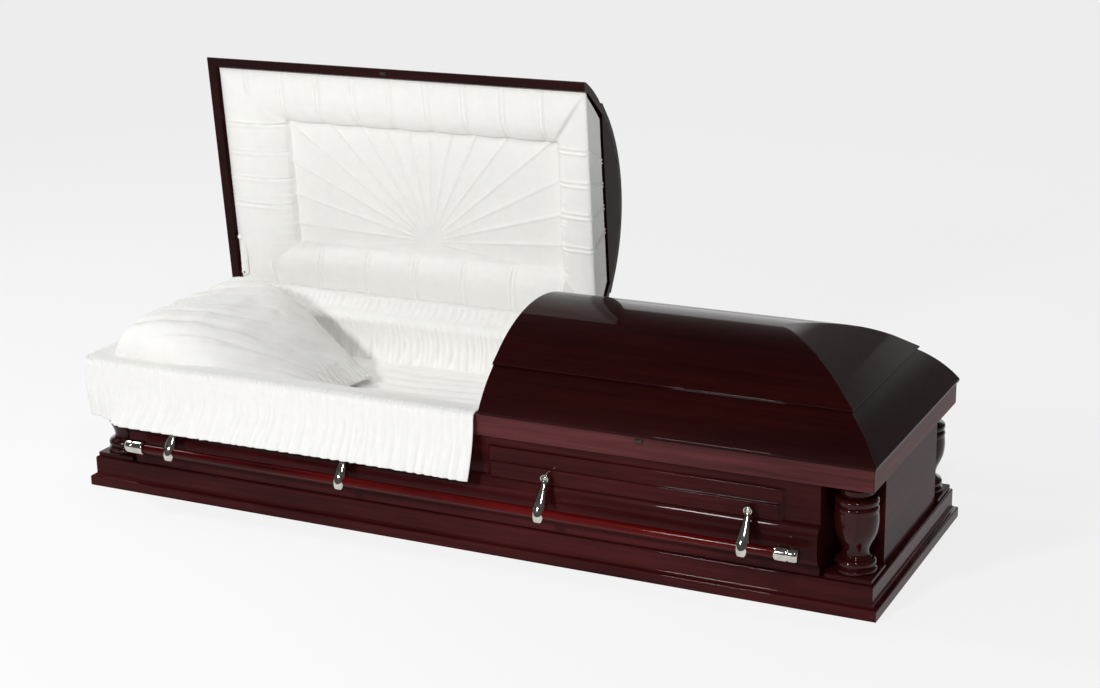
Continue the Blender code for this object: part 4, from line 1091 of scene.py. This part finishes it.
# each level is (inset from the wall, height, share of the fine shirring)
levels = [(0.0000, top - 0.004, 0.0), (0.0020, top - 0.0010, 0.2), (0.0070, top, 0.5),
          (0.0130, top - 0.0008, 0.8), (0.0190, top - 0.004, 1.0), (0.0240, top - 0.009, 1.0),
          (0.0270, top - 0.016, 0.7)]
roll_inset, roll_height, _ = levels[-1]
for k in range(1, SLOPE_STEPS + 1):
    share = k / SLOPE_STEPS
    levels.append((roll_inset + LINING_SLOPE * share ** 1.4 - 0.006 * math.sin(math.pi * share),
                   roll_height - (roll_height - LINING_LOW) * share, 0.0))
hidden = [(1.0, lining_low.z + 0.02), (1.0, lining_low.z), (0.0, lining_low.z), (0.0, 0.2)]
upper = folds(ring_length, spacing=0.0165, seed=31, unevenness=0.6, crease=2.2)
lower = folds(ring_length, spacing=0.046, seed=32, unevenness=0.7, crease=2.6)
fine = folds(ring_length, spacing=0.0082, seed=33)
rows = []
for inset, z, shirr in levels:
    fall = np.clip((top - 0.012 - z) / (top - LINING_LOW), 0, 1)
    slant = along + 0.07 * fall * np.sin(along / 0.16)
    wave = (1 - fall) ** 1.5 * upper(along + 0.01 * fall) + fall * lower(slant)
    across = min(inset / LINING_SWELL, 1.0)
    beyond = max(inset - LINING_SWELL, 0.0) + (ROLL_FOLD + SLOPE_FOLD * fall) * wave * (z < top - 0.002)
    beyond = beyond + SHIRR_OUT * fine(along) * shirr
    level = z + SHIRR_UP * fine(along) * shirr
    spots = outer_ring * (1 - across) + inner_ring * across + inward_way * np.reshape(beyond, (-1, 1))
    rows.append(np.concatenate([spots, np.broadcast_to(level, along.shape)[:, None]], 1))
for across, z in hidden:
    spots = outer_ring * (1 - across) + inner_ring * across
    rows.append(np.concatenate([spots, np.full((len(spots), 1), z)], 1))
body_padding = cloth_piece("shirred_body_lining", np.array(rows), "root", ["body_lining"], True, True)
print("body lining faces", len(body_padding.data.polygons))

# %% [markdown]
# The mattress is a cloth-covered pad. Its cover lies loose, so the top has long shallow folds that run
# along the casket, tighter near the edges, and the edge itself is full and round. Only the part between the
# pillow and the foot lid is seen, but the whole top is made alike.

# %% Mattress
mattress_low, mattress_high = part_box("mattress")
MATTRESS_TOP = mattress_high.z
MATTRESS_EDGE = 0.020
MATTRESS_GAP = 0.002
MATTRESS_FOLD, MATTRESS_RUMPLE, EDGE_FOLD = 0.0042, 0.0045, 0.0022
MATTRESS_SINK = 0.004       # keeps the folded top under the solid's top
MATTRESS_POINTS, MATTRESS_RINGS = 620, 32


def at_level(flat, z):
    """Flat points given one height."""
    return np.concatenate([flat, np.full((len(flat), 1), z)], 1)


def mattress_rows():
    """Rings of points from the underside, up round the full edge and in to the centre line."""
    outline = corner_outline(mattress_high.x - MATTRESS_GAP, mattress_high.y - MATTRESS_GAP, CORNER_CUT, 0.5)
    (ring_points, _), u = evenly(outline, MATTRESS_POINTS)
    tangent = np.roll(ring_points, -1, 0) - np.roll(ring_points, 1, 0)
    out = np.stack([tangent[:, 1], -tangent[:, 0]], -1) / np.linalg.norm(tangent, axis=1, keepdims=True)
    centre_end = mattress_high.x - mattress_high.y
    centre_line = np.clip(ring_points[:, 0], -centre_end, centre_end)
    middle = np.stack([centre_line, np.zeros(len(u))], -1)
    edge_wave = folds(6.0, spacing=0.030, seed=41, unevenness=0.5)(u)
    rows = [at_level(ring_points * 0.985, mattress_low.z)]
    for turn_deg in range(0, 91, 15):
        turn = math.radians(turn_deg)
        inset = MATTRESS_EDGE * (1 - math.cos(turn)) + EDGE_FOLD * edge_wave * math.cos(turn)
        z = MATTRESS_TOP - MATTRESS_EDGE * (1 - math.sin(turn))
        rows.append(at_level(ring_points - out * np.reshape(inset, (-1, 1)), z))
    rim = rows[-1][:, :2]
    for k in range(1, MATTRESS_RINGS + 1):
        share = k / MATTRESS_RINGS
        flat = rim + (middle - rim) * share
        wavy = flat[:, 1] + 0.6 + 0.012 * np.sin(flat[:, 0] / 0.07)
        height = MATTRESS_FOLD * folds(1.2, spacing=0.041, seed=43, unevenness=0.4)(wavy)
        height = height * eased_step(np.full(len(u), share), 0.0, 0.12) * (1 - 0.6 * share)
        points = at_level(flat, MATTRESS_TOP)
        rumple = MATTRESS_RUMPLE * crumple(points * np.array([0.5, 1, 1]), size=0.06, seed=5)
        points[:, 2] += height + rumple - MATTRESS_SINK
        rows.append(points)
    return np.array(rows)


mattress = cloth_piece("soft_mattress", mattress_rows(), "root", ["mattress"], wrap_columns=True)
print("mattress faces", len(mattress.data.polygons))

# %% [markdown]
# The pillow is a big soft cushion propped up at the head end, so it has the form of a wedge: thick and boxy
# at the head, thin and pinched at the foot, where its corners draw in. The cover is pulled round it in long
# curved folds that sweep down from the head end, and it is gathered into the seams in short puckers.

# %% Pillow
PILLOW_CORNERS = {"head_front": (-0.984, -0.286), "head_back": (-0.968, 0.264),
                  "foot_front": (-0.440, -0.225), "foot_back": (-0.436, 0.066)}
# heights of the top and the underside, by the share of the way from the head end to the foot end
PILLOW_TOP = ((0.0, 0.420), (0.08, 0.438), (0.20, 0.446), (0.36, 0.440), (0.52, 0.416), (0.68, 0.376),
              (0.82, 0.330), (0.92, 0.296), (1.0, 0.2720))
PILLOW_LOW = ((0.0, 0.318), (0.3, 0.285), (0.7, 0.2450), (1.0, 0.2420))
PILLOW_STEPS = (118, 112)
PILLOW_BOW = 0.034          # how far the two long sides swell outward
SEAM_SHARE = 0.30           # height of the seam between the underside and the top
SWEEP_CENTRE = (-1.15, 0.62)    # the long folds curve round this place
WRAP_FOLD, WRAP_FINE = 0.0068, 0.0028
FOOT_PUCKER, BACK_PUCKER = 0.0030, 0.0026
LARGE_RUMPLE, SMALL_RUMPLE = 0.0030, 0.0013


def pillow_side(upper):
    """A grid over one face of the pillow; its rows run from head to foot, its columns from front to back."""
    along = 0.5 - 0.5 * np.cos(np.linspace(0, math.pi, PILLOW_STEPS[0]))
    across = np.sin(np.linspace(-math.pi / 2, math.pi / 2, PILLOW_STEPS[1]))
    s, v = np.meshgrid(along, across, indexing="ij")
    corner = {name: np.array(place) for name, place in PILLOW_CORNERS.items()}
    w = (v + 1) / 2
    front = corner["head_front"] * (1 - s[..., None]) + corner["foot_front"] * s[..., None]
    back = corner["head_back"] * (1 - s[..., None]) + corner["foot_back"] * s[..., None]
    flat = front * (1 - w[..., None]) + back * w[..., None]
    flat[..., 1] += PILLOW_BOW * np.sin(np.pi * s) * v * np.abs(v)
    flat[..., 0] -= 0.016 * (1 - v ** 2) * s ** 6 - 0.010 * (1 - v ** 2) * (1 - s) ** 6
    boxy = 9.0 - 6.4 * eased_step(s, 0.0, 0.75)
    across_full = np.clip(1 - np.abs(v) ** boxy, 0, 1) ** (0.42 + 0.1 * s)
    head_full = np.clip(1 - (1 - np.clip(s / 0.07, 0, 1)) ** 2, 0, 1) ** 0.4
    foot_full = np.clip((1 - s) / 0.10, 0, 1) ** 0.5
    full = across_full * head_full
    top = np.interp(s, *zip(*PILLOW_TOP))
    low = np.interp(s, *zip(*PILLOW_LOW))
    seam = low + SEAM_SHARE * (top - low)
    if not upper:
        z = seam - (seam - low) * full * foot_full
        return np.concatenate([flat, z[..., None]], -1)
    z = seam + (top - seam) * full * (0.25 + 0.75 * foot_full)
    x, y = flat[..., 0], flat[..., 1]
    sweep = np.hypot(x - SWEEP_CENTRE[0], (y - SWEEP_CENTRE[1]) * 0.95)
    wrap = folds(2.4, spacing=0.058, seed=51, unevenness=0.6, crease=2.6)(sweep + 0.016 * np.sin(y * 15))
    wrap_fine = folds(2.4, spacing=0.021, seed=52, unevenness=0.7, crease=2.4)(sweep * 1.03 + 0.10 * x * y)
    body = full ** 0.8 * (1 - 0.35 * s)
    z = z + body * (WRAP_FOLD * wrap + WRAP_FINE * wrap_fine)
    at_foot = eased_step(s, 0.80, 0.99)
    pucker = folds(1.0, spacing=0.0130, seed=53, unevenness=0.45)(y + 0.4)
    z = z + FOOT_PUCKER * pucker * at_foot * across_full
    at_back = eased_step(v, 0.80, 0.985)
    shirr = folds(1.2, spacing=0.0120, seed=54, unevenness=0.45)(x + 1.1)
    z = z + BACK_PUCKER * shirr * at_back * eased_step(s, 0.1, 0.3)
    spots = np.stack([x, y, z], -1)
    rough = LARGE_RUMPLE * crumple(spots, size=0.055, seed=7)
    rough = rough + SMALL_RUMPLE * crumple(spots, size=0.02, seed=8)
    return np.stack([x, y, z + rough * full], -1)


pillow_points = np.concatenate([pillow_side(True), pillow_side(False)[::-1]])
pillow = cloth_piece("propped_pillow", pillow_points, "root", ["pillow"])
print("pillow top", round(float(pillow_points[..., 2].max()), 4))

# %% [markdown]
# Where the lid's lining meets the body's, a strip of the same cloth covers the hinge and the back of the
# rail.

# %% Hinge cover
# (y, z) of the strip at rest, from the lid's rim down in front of it and behind the body lining
COVER_PATH = ((0.3530, 0.3872), (0.3485, 0.3846), (0.3440, 0.3820), (0.3395, 0.3796), (0.3360, 0.3764),
              (0.3335, 0.3722), (0.3298, 0.3662), (0.3238, 0.3602), (0.3150, 0.3548), (0.3060, 0.3512),
              (0.2980, 0.3494), (0.2905, 0.3478), (0.2850, 0.3450), (0.2815, 0.3400))
COVER_STEP = 0.0030
COVER_LIMITS = (-1.0140, 0.0790)
COVER_THICKNESS = 0.0008


def cover_points():
    """The strip's grid, gathered in small uneven folds."""
    xs = np.linspace(*COVER_LIMITS, int((COVER_LIMITS[1] - COVER_LIMITS[0]) / COVER_STEP))
    route = np.array(softened(list(COVER_PATH), rounds=2))
    gather = folds(1.3, spacing=0.021, seed=71, unevenness=0.45)(xs + 1.1)
    small = folds(1.3, spacing=0.0095, seed=72, unevenness=0.4)(xs + 1.1)
    rows = []
    for k, (y, z) in enumerate(route):
        share = k / (len(route) - 1)
        bulge = (0.0011 * gather + 0.0005 * small) * math.sin(math.pi * share)
        rows.append(np.stack([xs, y - bulge, z + bulge * 0.6], -1))
    return np.array(rows)


points = cover_points()
cover_mesh = skin("hinge_cover", [[Vector(p) for p in row] for row in points], smooth_deg=None)
cover = bpy.data.objects.new("hinge_cover", cover_mesh)
bpy.context.scene.collection.objects.link(cover)
cover_mesh.materials.append(CREPE)
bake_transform(cover)
cover.modifiers.new("cloth_thickness", "SOLIDIFY").thickness = COVER_THICKNESS
cover_area = sum(face.area for face in cover_mesh.polygons)
cover_across = float(np.linalg.norm(np.diff(points[:, 100], axis=0), axis=1).sum())
print("cover along", round(cover_area / cover_across, 4), "across", round(cover_across, 4))

# %% [markdown]
# A loose cloth hangs over the front of the rail and round the head end, to hide the join when the casket is
# open. It is gathered along the rail, so it falls in many small upright folds, puffs out over the corner
# and ends in a slightly wavy hem. First come the way that it takes along the rail and round the corner, and
# the waves of its folds: coarse, middle and hem folds to mix by height, with fine shirring and creases on
# top.

# %% Route and folds of the overlay
rail_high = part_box("top_rail")[1]
overlay_low, overlay_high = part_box("rim_overlay")
OVERLAY_CORNER = 0.040
OVERLAY_BACK = 0.316
CORNER_REACH = 0.090
RAIL_REACH = 0.050          # how far the heading runs in over the rail
OVERLAY_STEP = 0.0024
OVERLAY_HEM = 0.0047
OVERLAY_THICKNESS = 0.0012
HANG_STEPS = 30
FALL_START = 0.016          # below the rail's top
HANG_OUT, FLARE_OUT = 0.0120, 0.0385       # distance from the rail at the top, and what is added at the hem
CORNER_PUFF, CORNER_TUCK = 0.006, 0.009
HANG_FOLD, HEM_FOLD = 0.0011, 0.0009
SHIRR_FOLD, CREASE_FOLD = 0.0008, 0.0006
HEM_RIPPLE, HEM_SWAY, CORNER_DROOP = 0.0006, 0.0020, 0.004
# (distance outward from the rail's edge, height over its top); -0.1 and less are shares of CORNER_REACH
SECTION = [(-1.0, 0.0018), (-0.8, 0.0024), (-0.6, 0.0028), (-0.4, 0.0030), (-0.2, 0.0030), (-0.050, 0.0030),
           (-0.042, 0.0032), (-0.034, 0.0034), (-0.026, 0.0036), (-0.018, 0.0038), (-0.010, 0.0040),
           (-0.004, 0.0040), (0.001, 0.0034), (0.0050, 0.0012), (0.0080, -0.0034), (0.0102, -0.0100)]
SEAM_ROW = len(SECTION) - 2


def rail_route(step):
    """Distances along the overlay, and how much of them is front, corner and head end."""
    front = overlay_high.x + rail_high.x - OVERLAY_CORNER
    turn = OVERLAY_CORNER * math.pi / 2
    end = OVERLAY_BACK + rail_high.y - OVERLAY_CORNER
    total = front + turn + end
    return np.linspace(0, total, int(total / step)), front, turn, end


u, front_run, turn_run, end_run = rail_route(OVERLAY_STEP)
fold_length = u[-1] + 0.3
coarse_folds = folds(fold_length, spacing=0.0175, seed=61, unevenness=0.65, crease=2.0)
middle_folds = folds(fold_length, spacing=0.0240, seed=62, unevenness=0.65, crease=2.6)
hem_folds = folds(fold_length, spacing=0.0300, seed=63, unevenness=0.65, crease=2.6)
shirring = folds(fold_length, spacing=0.0078, seed=64, unevenness=0.5, crease=1.6)
creases = folds(fold_length, spacing=0.0125, seed=65, unevenness=0.7, crease=5.0)
along_front = np.clip(u / front_run, 0, 1)
along_end = np.clip((u - front_run - turn_run) / end_run, 0, 1)
near_corner = eased_step(along_front, 0.90, 0.97) * eased_step(along_end, 0.16, 0.04)
near_corner = near_corner + eased_step(along_end, 0.72, 0.86)
flare = 1 - 0.95 * eased_step(u, front_run - 0.13, front_run + 0.02)
puff = ridge(u - front_run - OVERLAY_CORNER * 0.8, 0.075)
print("overlay route", round(float(u[-1]), 4), "m")

# %% [markdown]
# Each row of the cloth is a line at some distance from the rail's edge: first over the rail, then down to
# the hem. The waves move it in and out, tight shirring at the top and wide folds at the hem. The grid is
# cut at the row where the cloth turns down, into a heading that lies on the rail and a hanging part, and
# both meet in the same row of points. The cloth is a single layer, given its thickness last.

# %% Rim overlay
def beside_rail(d):
    """Points at distance d outward from the rail's edge; the further out, the rounder the corner."""
    d = np.broadcast_to(d, u.shape)
    r = np.clip(0.004 + 2.1 * d, 0.004, 0.05)
    corner_x, corner_y = -(rail_high.x + d) + r, -(rail_high.y + d) + r
    angle = np.clip((u - front_run) / turn_run, 0, 1) * math.pi / 2
    x = overlay_high.x + (corner_x - overlay_high.x) * along_front - r * np.sin(angle)
    y = corner_y - r * np.cos(angle)
    return np.stack([x, y + (OVERLAY_BACK - corner_y) * along_end], -1)


def over_rail(d, h):
    """One row of the cloth where it lies on the rail and turns over its edge."""
    reach = d
    if d <= -0.1:
        reach = -RAIL_REACH + d * CORNER_REACH * near_corner - 0.0004 * abs(d)
    gather = eased_step(np.full_like(u, max(d, -RAIL_REACH)), -0.03, 0.0)
    lift = (0.0011 * shirring(u) + 0.0006 * creases(u)) * (gather + 0.2)
    height = np.maximum(RAIL_TOP + h + lift, RAIL_TOP + 0.0008)
    return np.concatenate([beside_rail(reach + 0.0009 * shirring(u) * gather), height[:, None]], 1)


def hanging(share):
    """One row of the hanging cloth: share is 0 at its top and 1 at the hem."""
    top, hem = RAIL_TOP - FALL_START, overlay_low.z + OVERLAY_HEM
    body = HANG_OUT + (FLARE_OUT * share ** 1.7) * flare
    body = body + puff * CORNER_PUFF * math.sin(math.pi * min(1, share * 1.15))
    body = body - CORNER_TUCK * (1 - flare) * share ** 2
    slanted = u + 0.006 * share * np.sin(u / 0.13)
    top_part, low_part = 1 - eased_step(share, 0.0, 0.5), eased_step(share, 0.5, 1.0)
    wave = top_part * coarse_folds(u) + low_part * hem_folds(slanted)
    wave = wave + (1 - top_part - low_part) * middle_folds(slanted)
    d = body + (HANG_FOLD + HEM_FOLD * share) * wave
    d = d + SHIRR_FOLD * shirring(u) * (1 - share) ** 2 + CREASE_FOLD * creases(slanted)
    droop = HEM_RIPPLE * hem_folds(slanted + 0.01) * share ** 3 + CORNER_DROOP * (1 - flare) * share
    droop = droop + HEM_SWAY * np.sin(u / 0.19) * share ** 2
    return np.concatenate([beside_rail(d), (top - (top - hem) * share + droop)[:, None]], 1)


points = np.array([over_rail(d, h) for d, h in SECTION]
                  + [hanging(k / HANG_STEPS) for k in range(HANG_STEPS + 1)])
points[..., 2] = np.maximum(points[..., 2], overlay_low.z)
overlay = {}
for name, part in (("overlay_heading", points[:SEAM_ROW + 1]), ("gathered_rim_overlay", points[SEAM_ROW:])):
    overlay[name] = cloth_piece(name, part, "root", ["rim_overlay"])
    overlay[name].modifiers.new("cloth_thickness", "SOLIDIFY").thickness = OVERLAY_THICKNESS
    print(name, "area", round(sum(face.area for face in overlay[name].data.polygons), 4))

# %% [markdown]
# The lid is held up by a short arm covered in the same cloth: a flattened, softly creased tube with rounded
# ends, with a round knob at the top and a dark pin near its lower end. All three ride on the lid.

# %% Lid stay
STAY_TOP = Vector((-0.9972, 0.3352, 0.5185))
STAY_FOOT = Vector((-0.9972, 0.3352, 0.4010))
STAY_RADII = (0.0115, 0.0060)
STAY_END = 0.011            # the length of each rounded end
STAY_STATIONS, STAY_ROUND = 40, 28
KNOB_RADIUS = 0.0085
KNOB_SHIFT = Vector((-0.006, -0.004, -0.006))
PIN_PROFILE = [(0, 0.0012), (0.0024, 0.0009), (0.0030, 0), (0, 0)]
PIN_SHIFT = Vector((0, -0.0058, 0.010))
PIN_ROUND = 20


def stay_rows():
    """Rings from the foot to the top of the stay."""
    rows = []
    length = STAY_TOP.z - STAY_FOOT.z
    turns = [2 * math.pi * i / STAY_ROUND for i in range(STAY_ROUND)]
    for k in range(STAY_STATIONS + 1):
        share = k / STAY_STATIONS
        end = min(share, 1 - share) * length
        full = math.sqrt(1 - (1 - min(1.0, end / STAY_END)) ** 2)
        full *= 1 + 0.05 * math.sin(share * 31) * math.sin(share * 12)
        rows.append([(STAY_FOOT.x + STAY_RADII[0] * full * math.cos(turn),
                      STAY_FOOT.y + STAY_RADII[1] * full * math.sin(turn),
                      STAY_FOOT.z + share * length) for turn in turns])
    return rows


stay = cloth_piece("covered_lid_stay", np.array(stay_rows()), "head_lid", ["lid_stay"], wrap_columns=True)
half_circle = [(KNOB_RADIUS * math.sin(math.radians(a)), KNOB_RADIUS * math.cos(math.radians(a)))
               for a in range(0, 181, 12)]
knob_place = Matrix.Translation(STAY_TOP + KNOB_SHIFT)
knob_rows = turned_rows(half_circle, knob_place, STAY_ROUND)
knob_mesh = skin("stay_knob", knob_rows, wrap_rows=True, smooth_deg=None)
knob = add_piece("stay_knob", knob_mesh, "head_lid", [CREPE], weighted=False)
pin_place = Matrix.Translation(STAY_FOOT + PIN_SHIFT) @ Matrix.Rotation(math.pi / 2, 4, "X")
pin_mesh = skin("stay_pin", turned_rows(PIN_PROFILE, pin_place, PIN_ROUND), wrap_rows=True)
pin = add_piece("stay_pin", pin_mesh, "head_lid", [DARK_STEEL])
print("stay from", STAY_FOOT[:], "to", STAY_TOP[:])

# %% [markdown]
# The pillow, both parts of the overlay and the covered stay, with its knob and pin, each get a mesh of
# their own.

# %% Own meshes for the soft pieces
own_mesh(pillow)
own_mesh(overlay["overlay_heading"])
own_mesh(overlay["gathered_rim_overlay"])
for pressed in (stay, knob, pin):
    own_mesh(pressed)
